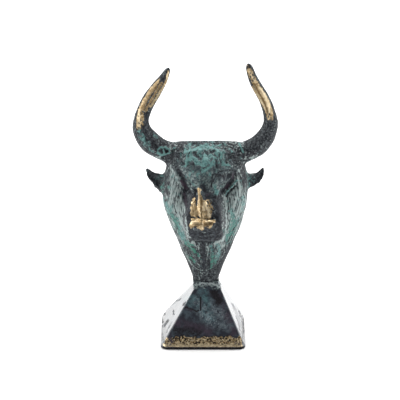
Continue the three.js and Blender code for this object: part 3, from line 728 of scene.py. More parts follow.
PALE_AND_HIGHLIGHT_STROKES = [
    # Pale rims along both sides of the muzzle: wiped patina, with a painted highlight on the edge.
    ([(-8.1, -3.6), (-7.4, -9.1), (-6.6, -14.2), (-5.6, -18.8), (-3.6, -21.8)], 0.8, 1.0),
    ([(12.7, 2.0), (13.2, -4.1), (13.5, -11.2), (13.0, -17.3), (11.2, -20.6), (7.1, -22.4)], 0.9, 1.0),
    # Painted glints at the roots of the ears.
    ([(-14.2, 15.6), (-13.9, 14.8)], 1.0, 1.0),
    ([(19.7, 15.6), (19.9, 14.4)], 0.9, 1.0),
    ([(-4.1, 7.1), (-1.5, 8.1)], 1.4, 0.5),
    ([(-6.6, 11.7), (-4.6, 13.0), (-2.0, 12.2)], 1.0, 0.4),
    ([(-15.2, 11.2), (-12.7, 4.1), (-10.7, -2.0)], 1.0, 0.75),
    ([(-13.7, 0.0), (-11.2, -6.1), (-8.6, -12.2)], 0.7, 0.9),
    ([(-12.2, -7.1), (-9.7, -11.2), (-7.6, -15.8), (-6.1, -19.3)], 1.0, 0.9),
    ([(-10.7, -21.3), (-8.1, -25.9), (-5.1, -31.5)], 0.8, 0.6),
    ([(-6.1, -30.5), (-3.6, -33.6), (-0.5, -35.6), (3.6, -35.8), (6.6, -34.3)], 0.6, 0.6),
    # Painted highlights: two light arcs under the lips.
    ([(-0.5, -18.5), (3.6, -18.3), (7.6, -17.3)], 0.5, 0.6),
    ([(1.0, -16.6), (3.6, -17.0)], 0.4, 0.6),
    ([(2.0, 14.2), (6.1, 13.7)], 0.9, 0.5),
    ([(16.3, 4.1), (17.3, -3.0), (16.3, -9.1), (14.2, -16.3)], 0.9, 0.85),
    ([(14.7, 0.0), (15.2, -7.1), (14.2, -13.2)], 0.6, 0.8),
    ([(-5.1, -21.8), (-2.5, -23.1), (-0.5, -24.9)], 0.7, 0.8),
    ([(8.1, -22.4), (10.2, -25.4), (8.6, -29.5)], 0.8, 0.45),
    ([(23.4, 30.5), (19.3, 29.0)], 0.9, 0.4),
    ([(-16.0, 7.1), (-14.7, 3.0), (-12.7, -3.0), (-9.7, -11.2)], 0.8, 0.8),
    ([(11.3, -1.5), (11.9, -8.0), (11.6, -15.2)], 1.5, 0.42),
    ([(19.8, 5.1), (20.3, -1.0), (18.8, -8.1)], 0.9, 0.8),
]
DARK_STROKES = [
    ([(-8.1, 5.1), (-6.9, 0.0), (-6.2, -6.1), (-5.9, -11.2), (-5.8, -15.2)], 2.2, 0.9),
    ([(7.6, 1.0), (8.9, -3.0), (9.7, -9.1), (9.9, -15.2)], 3.2, 0.9),
    ([(-2.0, 5.1), (-2.5, 2.0), (-2.3, -1.0)], 1.2, 0.9),
    ([(-4.6, -17.3), (2.5, -18.3), (9.7, -17.3)], 4.0, 0.85),
    # Painted shade under the left brow.
    ([(-11.7, 16.8), (-10.9, 14.0)], 2.2, 0.6),
    ([(-10.2, 14.7), (-7.6, 10.2)], 2.8, 0.6),
    ([(1.5, -21.8), (2.0, -26.4), (2.0, -32.5)], 2.0, 0.9),
    ([(2.3, -33.5), (2.3, -35.6)], 1.8, 0.85),
    ([(-2.0, -27.4), (-1.0, -31.5)], 1.0, 0.8),
    ([(4.6, -31.5), (5.1, -36.1)], 0.9, 0.7),
    ([(5.1, 24.4), (6.6, 23.4)], 0.9, 0.7),
    ([(-2.5, 23.9), (0.0, 21.3)], 1.4, 0.8),
    ([(-4.6, 18.8), (-3.0, 17.8)], 1.4, 0.8),
    ([(8.1, 20.3), (8.6, 16.8)], 1.2, 0.8),
    ([(12.7, 26.4), (15.8, 22.4), (18.3, 19.8)], 4.5, 0.5),
    ([(-16.3, 19.8), (-12.2, 23.9), (-8.6, 27.4)], 3.0, 0.55),
    ([(-10.2, 29.0), (2.5, 29.2), (16.3, 28.5)], 1.6, 0.5),
    ([(1.2, 7.4), (3.0, 5.0), (3.6, 2.0)], 2.6, 0.9),
    ([(9.1, 12.4), (13.2, 11.7), (16.3, 12.4)], 3.6, 0.7),
    ([(-17.8, 15.8), (-17.3, 9.1), (-16.3, 3.0)], 2.8, 0.6),
    ([(21.8, 15.8), (22.4, 8.1)], 3.2, 0.65),
    ([(-9.7, -23.4), (-7.1, -29.5), (-5.1, -34.6), (-3.3, -38.6)], 1.6, 0.6),
    ([(15.0, -23.4), (13.0, -28.5), (10.9, -33.5), (9.6, -38.1)], 1.8, 0.65),
]
PLUM_STROKES = [
    ([(-9.7, 9.7), (-7.4, 6.1)], 1.6, 0.9),
    ([(14.7, 7.4), (13.2, 6.1)], 1.3, 0.9),
    ([(17.3, 13.7), (17.3, 11.2)], 1.2, 0.7),
    ([(6.1, 15.2), (7.1, 13.2)], 0.9, 0.5),
    ([(-8.1, 3.0), (-6.6, -3.0)], 1.5, 0.6),
    ([(3.0, 2.0), (5.1, 3.6)], 0.9, 0.6),
]
HORN_TEALS = [
    ([(-30.6, 35.0), (-29.0, 31.3), (-25.6, 27.6)], 3.2, 0.55),
    ([(-25.4, 35.6), (-21.8, 31.5)], 1.4, 0.4),
    ([(-26.4, 26.9), (-23.9, 24.9)], 1.6, 0.45),
]
GREEN_AREAS = [((-4.6, -26.6), (7, 9), 1.0), ((-14.0, -14.0), (5, 12), 0.6), ((15.4, -15.4), (5, 12), 0.5),
               ((6.1, -31.5), (4, 6), 0.7), ((-18.3, 6.1), (4, 6), 0.5)]
print("strokes", len(TEAL_STROKES + PALE_AND_HIGHLIGHT_STROKES + DARK_STROKES + PLUM_STROKES))

# %% [markdown]
# Colour follows the relief, as on the real casting: the wiped high places are pale or turquoise,
# and the hollows stay dark. The zones and the strokes are added up into masks on the skin, which
# the material mixes. Parts that turn away from the photo get the zones alone, and so are plainer.

# %% Paint the masks
pale_rims_and_highlights = drawn(PALE_AND_HIGHLIGHT_STROKES)
# Painted highlights: bright strokes on the metal, and the pale rims and glints on the patina.
painted_highlights_and_rims = np.maximum(drawn(NOSE_HIGHLIGHTS + HORN_HIGHLIGHTS), pale_rims_and_highlights * (1 - brass))

side_reach = np.abs(points[:, 0] - BUST_X)
below_horns = ease((95 - height_z) / 2)
ear = ease((side_reach - 19.5) / 2) * below_horns
ear_tip = ease((side_reach - 22) / 5) * below_horns
patches = ripple(points, 5, 8)
low = ease((64 - height_z) / 16)
turned_away_shade = ease(1 - 2.5 * faced)
forehead_wash = forehead * patch(spots, (2, 22), (19, 12))
teal = 0.56 * forehead_wash + 0.26 * forehead_wash * worms + 0.14 * flank + 0.12 * patches * flank
teal = np.maximum(teal, 0.45 * ear * (1 - ear_tip))
teal = np.maximum(teal, drawn(scaled(TEAL_CURLS, 0.92), 0.95))
teal = np.maximum(teal, np.maximum(drawn(TEAL_STROKES), drawn(HORN_TEALS)))
# Painted shade: the pale strands are darker where the skin turns away from the camera, towards the outline.
pale = flank * (1 - ear) * (0.66 - 0.42 * low + 0.12 * patches) * (1 - 0.36 * turned_away_shade) + 0.1 * muzzle + 0.2 * neck_end
pale *= 1 - 0.3 * patch(spots, (2.5, 12), (17, 10)) * front
for temple in [(-16.5, 17.0), (21.5, 17.0)]:
    pale *= 1 - 0.45 * patch(spots, temple, (6, 8)) * front
pale = np.maximum(pale + 0.05 * horn + 0.25 * ear * (1 - ear_tip), 0.3 * forehead)
dark = np.maximum(drawn(DARK_STROKES), np.maximum(0.7 * drawn(DARK_CURLS), 0.5 * ear_tip))
dark = np.maximum(dark, np.maximum(0.9 * drawn(FACE_GROOVES + EYE_MOTTLES), drawn(HORN_DARKS)))
dark *= 1 - 0.85 * pale_rims_and_highlights
dark *= 1 - 0.25 * forehead_wash
plum = drawn(PLUM_STROKES)
green = np.zeros(len(spots))
for middle, size, strength in GREEN_AREAS:
    green = np.maximum(green, strength * patch(spots, middle, size) * front)
teal *= 1 - 0.9 * dark
pale *= 1 - 0.45 * green
pale = np.maximum(pale * (1 - 0.9 * dark), pale_rims_and_highlights)


def paint(mesh, name, values):
    layer = mesh.attributes.new(name, "FLOAT", "POINT")
    layer.data.foreach_set("value", np.clip(values, 0, 1).astype(np.float32))


face = muzzle + horn + forehead + patch(spots, (2.5, 12), (19, 12)) * front + crown + 0.6 * neck_end
masks = {"brass": brass, "tarnish_and_lip_shade": tarnish_and_lip_shade, "painted_highlights_and_rims": painted_highlights_and_rims, "teal": teal, "pale": pale, "dark": dark,
         "plum": plum, "brow": patch(spots, (2.5, 15), (20, 17)) * front, "curls": 0.72 * drawn(scaled(TEAL_CURLS, 0.7)), "calm": face, "green": green}
for name, values in masks.items():
    paint(skin, name, values)
    print(name, round(float(values.mean()), 3))
strand_places = skin.attributes.new("strands", "FLOAT_VECTOR", "POINT")
strand_places.data.foreach_set("vector", wavy_flow.astype(np.float32).ravel())

# %% [markdown]
# One node group breaks a mask into flecks, so that its border is not clean. The bronze material
# lays the colours over each other from the dark ground to the rubbed brass.

# %% Flecks
flecks = bpy.data.node_groups.new("flecks", "ShaderNodeTree")
flecks.interface.new_socket("Mask", in_out="INPUT", socket_type="NodeSocketFloat")
flecks.interface.new_socket("Size", in_out="INPUT", socket_type="NodeSocketFloat")
flecks.interface.new_socket("Amount", in_out="INPUT", socket_type="NodeSocketFloat")
flecks.interface.new_socket("Mask", in_out="OUTPUT", socket_type="NodeSocketFloat")


def link(tree, source, target):
    tree.links.new(source, target)


def math_node(tree, operation, *values, clamp=False):
    node = tree.nodes.new("ShaderNodeMath")
    node.operation = operation
    node.use_clamp = clamp
    for socket, value in zip(node.inputs, values):
        if isinstance(value, (int, float)):
            socket.default_value = value
        else:
            link(tree, value, socket)
    return node.outputs[0]


group_in = flecks.nodes.new("NodeGroupInput")
group_out = flecks.nodes.new("NodeGroupOutput")
coordinates = flecks.nodes.new("ShaderNodeTexCoord")
fleck_noise = flecks.nodes.new("ShaderNodeTexNoise")
fleck_noise.inputs["Detail"].default_value = 4
fleck_noise.inputs["Roughness"].default_value = 0.6
link(flecks, coordinates.outputs["Object"], fleck_noise.inputs["Vector"])
link(flecks, math_node(flecks, "DIVIDE", 1000.0, group_in.outputs["Size"]), fleck_noise.inputs["Scale"])
centred = math_node(flecks, "SUBTRACT", fleck_noise.outputs["Fac"], 0.5)
pushed = math_node(flecks, "MULTIPLY_ADD", centred, group_in.outputs["Amount"], group_in.outputs["Mask"])
edge = flecks.nodes.new("ShaderNodeMapRange")
edge.interpolation_type = "SMOOTHSTEP"
edge.inputs["From Min"].default_value = 0.25
edge.inputs["From Max"].default_value = 0.75
link(flecks, pushed, edge.inputs["Value"])
link(flecks, edge.outputs["Result"], group_out.inputs["Mask"])


def flecked(tree, mask, size, amount):
    node = tree.nodes.new("ShaderNodeGroup")
    node.node_tree = flecks
    node.inputs["Size"].default_value = size
    node.inputs["Amount"].default_value = amount
    link(tree, mask, node.inputs["Mask"])
    return node.outputs["Mask"]


def attribute(tree, name):
    node = tree.nodes.new("ShaderNodeAttribute")
    node.attribute_name = name
    return node.outputs["Fac"]


def mixed(tree, share, first, second):
    """Mixes two colours, each a colour or a socket."""
    node = tree.nodes.new("ShaderNodeMix")
    node.data_type = "RGBA"
    link(tree, share, node.inputs["Factor"])
    for socket, value in ((node.inputs[6], first), (node.inputs[7], second)):
        if isinstance(value, tuple):
            socket.default_value = (*value, 1)
        else:
            link(tree, value, socket)
    return node.outputs[2]


def noise_value(tree, size, detail=3, seed=0.0):
    place = tree.nodes.new("ShaderNodeTexCoord")
    shift = tree.nodes.new("ShaderNodeMapping")
    shift.inputs["Location"].default_value = (seed, seed, seed)
    node = tree.nodes.new("ShaderNodeTexNoise")
    node.inputs["Scale"].default_value = 1000 / size
    node.inputs["Detail"].default_value = detail
    link(tree, place.outputs["Object"], shift.inputs["Vector"])
    link(tree, shift.outputs["Vector"], node.inputs["Vector"])
    return node.outputs["Fac"]


def spread(value, low, high):
    """Stretches the part of a value between low and high over 0 to 1."""
    tree = value.id_data
    return math_node(tree, "DIVIDE", math_node(tree, "SUBTRACT", value, low), high - low, clamp=True)


# %% [markdown]
# The bust is dark bronze under thin layers of patina. The material starts with the mottled ground
# and adds pale strands of hair, turquoise, the dark hollows and then the rubbed metal, which is
# the only part that is metallic and shiny. Painted highlights and glints lighten the pale patina
# and the metal.

# %% Patinated bronze
GROUND = (0.014, 0.016, 0.02)
SLATE = (0.075, 0.084, 0.092)
DEEP_SLATE = (0.05, 0.057, 0.066)
BROW_DEEP = (0.05, 0.068, 0.075)
BROW_SLATE = (0.112, 0.146, 0.153)
TEAL_DEEP = (0.06, 0.135, 0.135)
TEAL_LIGHT = (0.17, 0.33, 0.315)
VERDIGRIS = (0.047, 0.172, 0.13)
PALE_DEEP = (0.08, 0.118, 0.115)
PALE_LIGHT_AND_HIGHLIGHT = (0.36, 0.42, 0.41)
PLUM = (0.05, 0.036, 0.05)
BRASS = (0.52, 0.395, 0.23)
BRASS_BROWN = (0.29, 0.195, 0.09)
# Light brass, for painted highlights and glints, and for the less pitted strip of the foot's band.
BRASS_HIGHLIGHT_AND_POLISH = (0.92, 0.77, 0.52)
TARNISH_AND_SHADE_BROWN = (0.1, 0.065, 0.03)

bronze = bpy.data.materials.new("patinated_bronze")
bronze.use_nodes = True
tree = bronze.node_tree
shader = tree.nodes["Principled BSDF"]

strand_vector = tree.nodes.new("ShaderNodeAttribute")
strand_vector.attribute_name = "strands"
strand_noise = tree.nodes.new("ShaderNodeTexNoise")
strand_noise.inputs["Scale"].default_value = 1.9
strand_noise.inputs["Detail"].default_value = 4
link(tree, strand_vector.outputs["Vector"], strand_noise.inputs["Vector"])
calm = attribute(tree, "calm")
along_strands = math_node(tree, "MULTIPLY", strand_noise.outputs["Fac"], math_node(tree, "SUBTRACT", 1.0, calm))
strands = spread(math_node(tree, "MULTIPLY_ADD", noise_value(tree, 1.1, seed=23.0), calm, along_strands), 0.36, 0.64)

coarse = spread(noise_value(tree, 1.0), 0.44, 0.62)
brow_ground = mixed(tree, coarse, BROW_DEEP, BROW_SLATE)
ground = mixed(tree, attribute(tree, "brow"), mixed(tree, coarse, GROUND, SLATE), brow_ground)
hushed = math_node(tree, "MULTIPLY", strands, math_node(tree, "MULTIPLY_ADD", attribute(tree, "brow"), -0.5, 1.0))
pale_colour = mixed(tree, math_node(tree, "MAXIMUM", hushed, attribute(tree, "painted_highlights_and_rims")), PALE_DEEP, PALE_LIGHT_AND_HIGHLIGHT)
pale_mask = math_node(tree, "MULTIPLY_ADD", math_node(tree, "SUBTRACT", strands, 0.5), 0.7, attribute(tree, "pale"))
colour = mixed(tree, flecked(tree, pale_mask, 1.3, 1.1), ground, pale_colour)
teal_noise = spread(noise_value(tree, 0.9, seed=3.0), 0.38, 0.62)
teal_colour = mixed(tree, math_node(tree, "MAXIMUM", teal_noise, attribute(tree, "curls")), TEAL_DEEP, TEAL_LIGHT)
teal_colour = mixed(tree, attribute(tree, "green"), teal_colour, VERDIGRIS)
colour = mixed(tree, flecked(tree, attribute(tree, "teal"), 1.8, 2.2), colour, teal_colour)
deep = mixed(tree, spread(noise_value(tree, 1.3, seed=13.0), 0.46, 0.64), GROUND, DEEP_SLATE)
colour = mixed(tree, flecked(tree, attribute(tree, "dark"), 1.4, 1.3), colour, deep)
colour = mixed(tree, flecked(tree, attribute(tree, "plum"), 0.9, 1.0), colour, PLUM)
brass_mask = flecked(tree, attribute(tree, "brass"), 0.7, 1.4)
brass_colour = mixed(tree, spread(noise_value(tree, 1.4, seed=7.0), 0.43, 0.64), BRASS, BRASS_BROWN)
glints = spread(noise_value(tree, 0.8, seed=15.0), 0.58, 0.68)
brass_colour = mixed(tree, math_node(tree, "MAXIMUM", glints, attribute(tree, "painted_highlights_and_rims")), brass_colour, BRASS_HIGHLIGHT_AND_POLISH)
# Tarnish, and painted shade under the lips, in dark brown.
brass_colour = mixed(tree, attribute(tree, "tarnish_and_lip_shade"), brass_colour, TARNISH_AND_SHADE_BROWN)
colour = mixed(tree, brass_mask, colour, brass_colour)
link(tree, colour, shader.inputs["Base Color"])
link(tree, math_node(tree, "MULTIPLY", brass_mask, 0.7), shader.inputs["Metallic"])
link(tree, math_node(tree, "MULTIPLY_ADD", brass_mask, -0.19, 0.55), shader.inputs["Roughness"])
shader.inputs["Specular IOR Level"].default_value = 0.15
bump = tree.nodes.new("ShaderNodeBump")
bump.inputs["Strength"].default_value = 0.6
bump.inputs["Distance"].default_value = 0.12 * MM
rough_height = math_node(tree, "MULTIPLY", noise_value(tree, 0.6, detail=4, seed=11.0),
                         math_node(tree, "MULTIPLY_ADD", brass_mask, -0.75, 1.0))
link(tree, rough_height, bump.inputs["Height"])
link(tree, bump.outputs["Normal"], shader.inputs["Normal"])
skin.materials.append(bronze)

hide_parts("bull_head_bust")
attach(bust, "root")

# %% [markdown]
# The plinth is a rounded square foot whose four flat faces rise to a narrow collar. Rounded
# rings are laid at the heights where its profile turns, and bridged into walls. The walls are
# then cut into a fine net, so that pits and marks can be pressed into them while the faces
# between stay flat. A voxel remesh would leave ripples, which so glossy a face would show.

# %% Rings and walls of the plinth
RIM_HEIGHT = 1.9
RIM_ROUNDING = 0.7
FOOT_CORNER = 3.6
SLOPE_TOP = 26.2
SLOPE_TOP_SIZE = (14.2, 10.0)
COLLAR_SIZE = (14.4, 9.8)
COLLAR_CORNER = 1.9
NECK_SIZE = (13.4, 7.8)
COLLAR_STEPS = 6
COLLAR_EDGE = 0.35
COLLAR_X = 2.2
CORNER_STEPS = 6
ARRIS_RISE = 2.2
ARRIS_CORNER = 1.2
foot_box = [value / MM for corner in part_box("pyramid_plinth") for value in corner]
FOOT_WIDTH = foot_box[3] - foot_box[0]
COLLAR_TOP = foot_box[5]

plinth_shape = bmesh.new()


def rounded_ring(width, depth, corner, across, height):
    """A flat ring of edges: a rectangle with round corners at a height."""
    place = Matrix.Translation(Vector((across, 0, height)) * MM) @ Matrix.Diagonal((width * MM, depth * MM, 1, 1))
    corners = bmesh.ops.create_grid(plinth_shape, x_segments=1, y_segments=1, size=0.5, matrix=place)["verts"]
    bmesh.ops.bevel(plinth_shape, geom=corners, offset=corner * MM, offset_type="OFFSET", affect="VERTICES",
                    segments=CORNER_STEPS, profile=0.5, material=-1)
    face = next(face for face in plinth_shape.faces if abs(face.calc_center_median().z - height * MM) < 1e-7)
    edges = list(face.edges)
    if 0 < height < COLLAR_TOP:
        bmesh.ops.delete(plinth_shape, geom=[face], context="FACES_ONLY")
    return edges


def quarter(steps):
    """Height and inset of the points of a quarter round of radius one, from its foot up."""
    turns = [math.pi / 2 * step / steps for step in range(steps + 1)]
    return [(1 - math.cos(turn), 1 - math.sin(turn)) for turn in turns]


levels = []
for rise, inset in quarter(4):
    width = FOOT_WIDTH - 2 * RIM_ROUNDING * inset
    levels.append((width, width, FOOT_CORNER - RIM_ROUNDING * inset / 2, 0, RIM_ROUNDING * rise))
for rise, inset in [(0.5, 0.1), (0.8, 0.25), (1.0, 0.5)]:
    width = FOOT_WIDTH - 2 * RIM_ROUNDING * inset
    height = RIM_ROUNDING + (RIM_HEIGHT - RIM_ROUNDING) * rise
    levels.append((width, width, FOOT_CORNER - RIM_ROUNDING * inset / 2, 0, height))
slope_share = ARRIS_RISE / (SLOPE_TOP - RIM_HEIGHT)
foot_of_slope = levels[-1]
levels.append((foot_of_slope[0] + (SLOPE_TOP_SIZE[0] - foot_of_slope[0]) * slope_share,
               foot_of_slope[1] + (SLOPE_TOP_SIZE[1] - foot_of_slope[1]) * slope_share,
               ARRIS_CORNER, COLLAR_X * slope_share, RIM_HEIGHT + ARRIS_RISE))
levels.append((*SLOPE_TOP_SIZE, ARRIS_CORNER / 2, COLLAR_X, SLOPE_TOP))
for step in range(COLLAR_STEPS + 1):
    up = step / COLLAR_STEPS
    flare = (1 - up) ** 2
    levels.append((NECK_SIZE[0] + (COLLAR_SIZE[0] - NECK_SIZE[0]) * flare,
                   NECK_SIZE[1] + (COLLAR_SIZE[1] - NECK_SIZE[1]) * flare,
                   COLLAR_CORNER, BUST_X + (COLLAR_X - BUST_X) * flare,
                   COLLAR_TOP + (SLOPE_TOP + COLLAR_EDGE - COLLAR_TOP) * (1 - up)))
rings = [rounded_ring(*level) for level in levels]
for lower, upper in zip(rings, rings[1:]):
    bmesh.ops.bridge_loops(plinth_shape, edges=lower + upper)
print("plinth rings", len(rings), "faces", len(plinth_shape.faces))

# %% [markdown]
# The walls get their net before they are joined to the rest of the work, while every edge still
# runs level or straight up the slope.

# %% Net on the walls
NET = 0.5 * MM
steep = [edge for edge in plinth_shape.edges if abs(edge.verts[0].co.z - edge.verts[1].co.z) > 5 * MM]
cuts = int(steep[0].calc_length() / NET)
bmesh.ops.subdivide_edges(plinth_shape, edges=steep, cuts=cuts, use_grid_fill=True)
rises = [edge for edge in plinth_shape.edges if abs(edge.verts[0].co.z - edge.verts[1].co.z) > 1.5 * MM]
bmesh.ops.subdivide_edges(plinth_shape, edges=rises, cuts=5, use_grid_fill=True)
long_edges = [edge for edge in plinth_shape.edges if edge.calc_length() > 3 * MM]
bmesh.ops.subdivide_edges(plinth_shape, edges=long_edges, cuts=int(FOOT_WIDTH * MM / NET / 1.3), use_grid_fill=True)
bmesh.ops.recalc_face_normals(plinth_shape, faces=plinth_shape.faces)
plinth_mesh = mesh_of(plinth_shape, "plinth")
plinth_mesh.shade_smooth()
print("plinth", sum(len(p.vertices) - 2 for p in plinth_mesh.polygons), "triangles")

# %% [markdown]
# The plinth's lower edge is a pitted band of bare metal, and its bottom rim is painted near black as
# shade where it meets the floor. The front has a crack, clouds of turquoise, steel and plum, and a
# shallow step with a painted shadow under it. The polished side faces have a few dark flaws, and
# painted grey shade along some edges.

# %% Pits and marks on the plinth
points = places(plinth_mesh) / MM
spots = seen(places(plinth_mesh))
out = normals(plinth_mesh)
height_z = points[:, 2]
on_slope = ease((height_z - 0.4) / 0.5) * ease((SLOPE_TOP - height_z) / 0.5)
fine = ripple(points, 0.8, 21)
broad = ripple(points, 5, 22)
ragged = ripple(points, 2.2, 23)
front = facing(plinth_mesh)
wander = spots + 0.4 * np.column_stack((ripple(points, 1.4, 24), ripple(points, 1.4, 25)))
sideways = ease((np.abs(out[:, 0]) - 0.5) / 0.2)
band = ease((6.1 + 0.8 * ragged - height_z) / 0.5) * ease((height_z - 1.3) / 0.4) * (1 - 0.8 * sideways)
pits = band * ease((fine - 0.2) / 0.3)
PLINTH_TEALS = [
    ([(-5.1, -50.3), (-1.5, -52.8)], 5.0, 0.75),
    ([(1.5, -46.7), (3.6, -52.3)], 4.2, 0.7),
    ([(1.5, -55.9), (5.1, -60.0)], 4.4, 0.5),
]
PLINTH_STEELS = [
    ([(1.0, -56.9), (5.1, -60.5)], 4.6, 1.0),
    ([(6.1, -52.8), (11.2, -58.9)], 4.6, 0.6),
    ([(5.1, -62.5), (13.7, -64.5)], 4.0, 0.5),
    ([(-2.5, -50.8), (2.5, -54.4)], 4.0, 0.5),
]
PLINTH_DARKS_AND_STEP_SHADOW = [
    ([(7.1, -47.3), (9.7, -51.3)], 4.4, 0.85),
    # Painted shadow under a shallow step, which is also pressed into the face.
    ([(-7.6, -54.6), (-4.3, -55.4), (-2.0, -56.4), (-0.4, -56.2)], 0.95, 0.85),
    ([(-12.2, -66.6), (-1.0, -67.1)], 6.0, 0.6),
    ([(-14.2, -69.4), (19.3, -69.4)], 1.0, 0.6),
]
CRACK = ([(0.3, -49.4), (0.3, -56.0)], 0.7)
PLINTH_PLUMS_AND_STEP_SHADOW = [
    ([(-11.2, -62.5), (-4.1, -64.5), (4.1, -66.6)], 4.5, 0.9),
    ([(12.7, -56.9), (16.3, -64.5), (16.8, -68.1)], 3.2, 0.9),
    ([(9.7, -48.8), (11.7, -54.9)], 2.4, 0.7),
    # Painted shadow under the same step, in plum.
    ([(-6.6, -54.9), (-4.6, -55.6)], 1.6, 0.7),
]
BAND_PLUMS = [
    ([(-15.0, -69.8), (-14.6, -72.2), (-15.6, -73.8)], 3.2, 0.75),
    ([(17.8, -72.0), (20.0, -73.4)], 2.0, 0.65),
]
# Painted highlight: a light arc along the top of the collar.
COLLAR_HIGHLIGHT_STROKES = [([(-2.2, -43.4), (1.0, -42.5), (5.0, -42.5), (8.2, -43.2), (10.4, -44.7)], 0.8, 0.85)]
# Dark flaws on the side faces. The long thin line along the left face's outer edge and the wide faint strokes are
# painted grey shade.
SIDE_FLECKS_AND_EDGE_SHADE = [
    ([(-8.6, -53.4), (-7.4, -52.1)], 0.7, 1.0),
    ([(-11.2, -51.1), (-9.7, -50.3)], 0.45, 0.8),
    ([(-13.4, -56.4), (-13.3, -57.9)], 0.65, 1.0),
    ([(-18.1, -64.0), (-17.3, -62.7), (-16.2, -61.2)], 0.9, 1.0),
    ([(-18.8, -57.2), (-17.8, -58.1)], 0.65, 1.0),
    ([(-19.3, -60.5), (-19.0, -62.2)], 0.7, 1.0),
    ([(-19.5, -64.0), (-19.6, -66.6)], 0.7, 1.0),
    ([(-19.3, -68.1), (-18.8, -71.1)], 1.2, 0.4),
    ([(-11.2, -50.8), (-15.2, -53.9), (-18.8, -56.9), (-19.6, -61.0)], 0.5, 0.6),
    ([(-17.3, -67.6), (-14.2, -62.0)], 0.4, 0.5),
    ([(17.3, -54.9), (19.3, -58.9), (20.3, -64.0)], 1.6, 0.3),
    ([(16.3, -52.8), (17.8, -55.4)], 0.45, 0.8),
    ([(18.3, -58.9), (19.8, -63.5), (20.3, -68.1)], 0.45, 0.7),
    ([(21.3, -58.9), (21.8, -66.6), (21.6, -70.6)], 0.9, 0.5),
    ([(22.1, -60.5), (22.3, -67.6)], 0.6, 1.0),
    ([(19.8, -56.4), (20.8, -59.4)], 0.45, 1.0),
    ([(17.3, -62.5), (19.3, -68.6)], 0.4, 0.6),
]
side_flecks_and_edge_shade = drawn(SIDE_FLECKS_AND_EDGE_SHADE) * sideways * (0.5 + 0.5 * ease(0.7 + fine))
crack = stroke(spots, *CRACK) * front
marks_and_step_shadow = np.maximum(drawn(PLINTH_DARKS_AND_STEP_SHADOW), crack)
collar = ease((height_z - SLOPE_TOP + 1.5 * ragged) / 1.5)
lift = -0.3 * pits - 0.15 * np.maximum(drawn(PLINTH_DARKS_AND_STEP_SHADOW[1:2]), crack) - 0.3 * side_flecks_and_edge_shade + on_slope * 0.02 * broad
lift += collar * (0.14 * fine + 0.12 * ragged)
move(plinth_mesh, (points + out * lift[:, None]) * MM)
plinth_mesh.set_sharp_from_angle(angle=math.radians(40))

# Painted shade: the bottom rim is near black and matte, for the shade where the foot meets the floor.
rim_shade = ease((1.5 + 0.3 * ragged - height_z) / 0.5)
# Faces turned to the back are made near black and matte too.
behind = ease((out[:, 1] - 0.3) / 0.2)
band_plums = drawn(BAND_PLUMS)
masks = {"band": band * (1 - 0.8 * band_plums), "teal": drawn(PLINTH_TEALS) * (1 - marks_and_step_shadow), "steel": drawn(PLINTH_STEELS) * (1 - marks_and_step_shadow),
         "dark": np.maximum(marks_and_step_shadow, rim_shade), "pitted": 0.3 + 0.7 * ease((height_z - 2.1) / 1.1),
         "plum": np.maximum(drawn(PLINTH_PLUMS_AND_STEP_SHADOW), band_plums), "collar": collar, "collar_highlight_arc": drawn(COLLAR_HIGHLIGHT_STROKES) * collar,
         "flecks_shade_and_back": np.maximum(side_flecks_and_edge_shade, np.maximum(rim_shade, 0.75 * behind))}
for name, values in masks.items():
    paint(plinth_mesh, name, values)
plinth = bpy.data.objects.new("plinth", plinth_mesh)
scene.collection.objects.link(plinth)

# %% [markdown]
# The plinth is lacquered: a dark clouded ground under a clear gloss. It looks black where it
# mirrors the dim front and white where it mirrors the bright tent. The collar is dull, like the
# neck above it.

# %% Slate gloss of the plinth
NAVY = (0.018, 0.021, 0.03)
STEEL = (0.06, 0.08, 0.096)
STEEL_LIGHT = (0.19, 0.24, 0.265)
TEAL_WASH = (0.088, 0.185, 0.2)
SPECK = (0.3, 0.34, 0.37)
PLINTH_PLUM = (0.05, 0.035, 0.052)
COLLAR_HIGHLIGHT_COLOUR = (0.32, 0.37, 0.37)
COLLAR_GREY = (0.2, 0.245, 0.245)
NEAR_BLACK = (0.010, 0.009, 0.012)
BAND_PIT = (0.02, 0.014, 0.012)
BAND_BRASS = (0.72, 0.57, 0.35)
DOT_SPACING = 0.88


def mottled(tree, name, size, low, high, seed):
    """A painted mask, broken softly into mottles."""
    return math_node(tree, "MULTIPLY", attribute(tree, name), spread(noise_value(tree, size, 5, seed), low, high))


gloss = bpy.data.materials.new("slate_gloss")
gloss.use_nodes = True
tree = gloss.node_tree
shader = tree.nodes["Principled BSDF"]
cloudy = math_node(tree, "MULTIPLY_ADD", noise_value(tree, 6.0, seed=4.0), 0.7, noise_value(tree, 2.2, detail=6))
colour = mixed(tree, spread(cloudy, 0.76, 1.0), NAVY, STEEL)
colour = mixed(tree, mottled(tree, "plum", 2.0, 0.3, 0.5, 20.0), colour, PLINTH_PLUM)
colour = mixed(tree, mottled(tree, "steel", 2.0, 0.4, 0.6, 21.0), colour, STEEL_LIGHT)
colour = mixed(tree, mottled(tree, "teal", 2.2, 0.36, 0.58, 22.0), colour, TEAL_WASH)
colour = mixed(tree, mottled(tree, "steel", 0.8, 0.55, 0.68, 8.0), colour, SPECK)
stipple = math_node(tree, "MULTIPLY", spread(noise_value(tree, 0.7, detail=2, seed=17.0), 0.48, 0.62), 0.5)
colour = mixed(tree, stipple, colour, NAVY)
colour = mixed(tree, flecked(tree, attribute(tree, "dark"), 1.2, 0.9), colour, NEAR_BLACK)
collar_colour = mixed(tree, spread(noise_value(tree, 1.0, detail=4, seed=6.0), 0.42, 0.62), NAVY, COLLAR_GREY)
colour = mixed(tree, flecked(tree, attribute(tree, "collar"), 0.9, 1.8), colour, collar_colour)
# Painted highlight along the top of the collar.
colour = mixed(tree, flecked(tree, attribute(tree, "collar_highlight_arc"), 0.8, 0.9), colour, COLLAR_HIGHLIGHT_COLOUR)
band_mask = flecked(tree, attribute(tree, "band"), 0.9, 1.6)
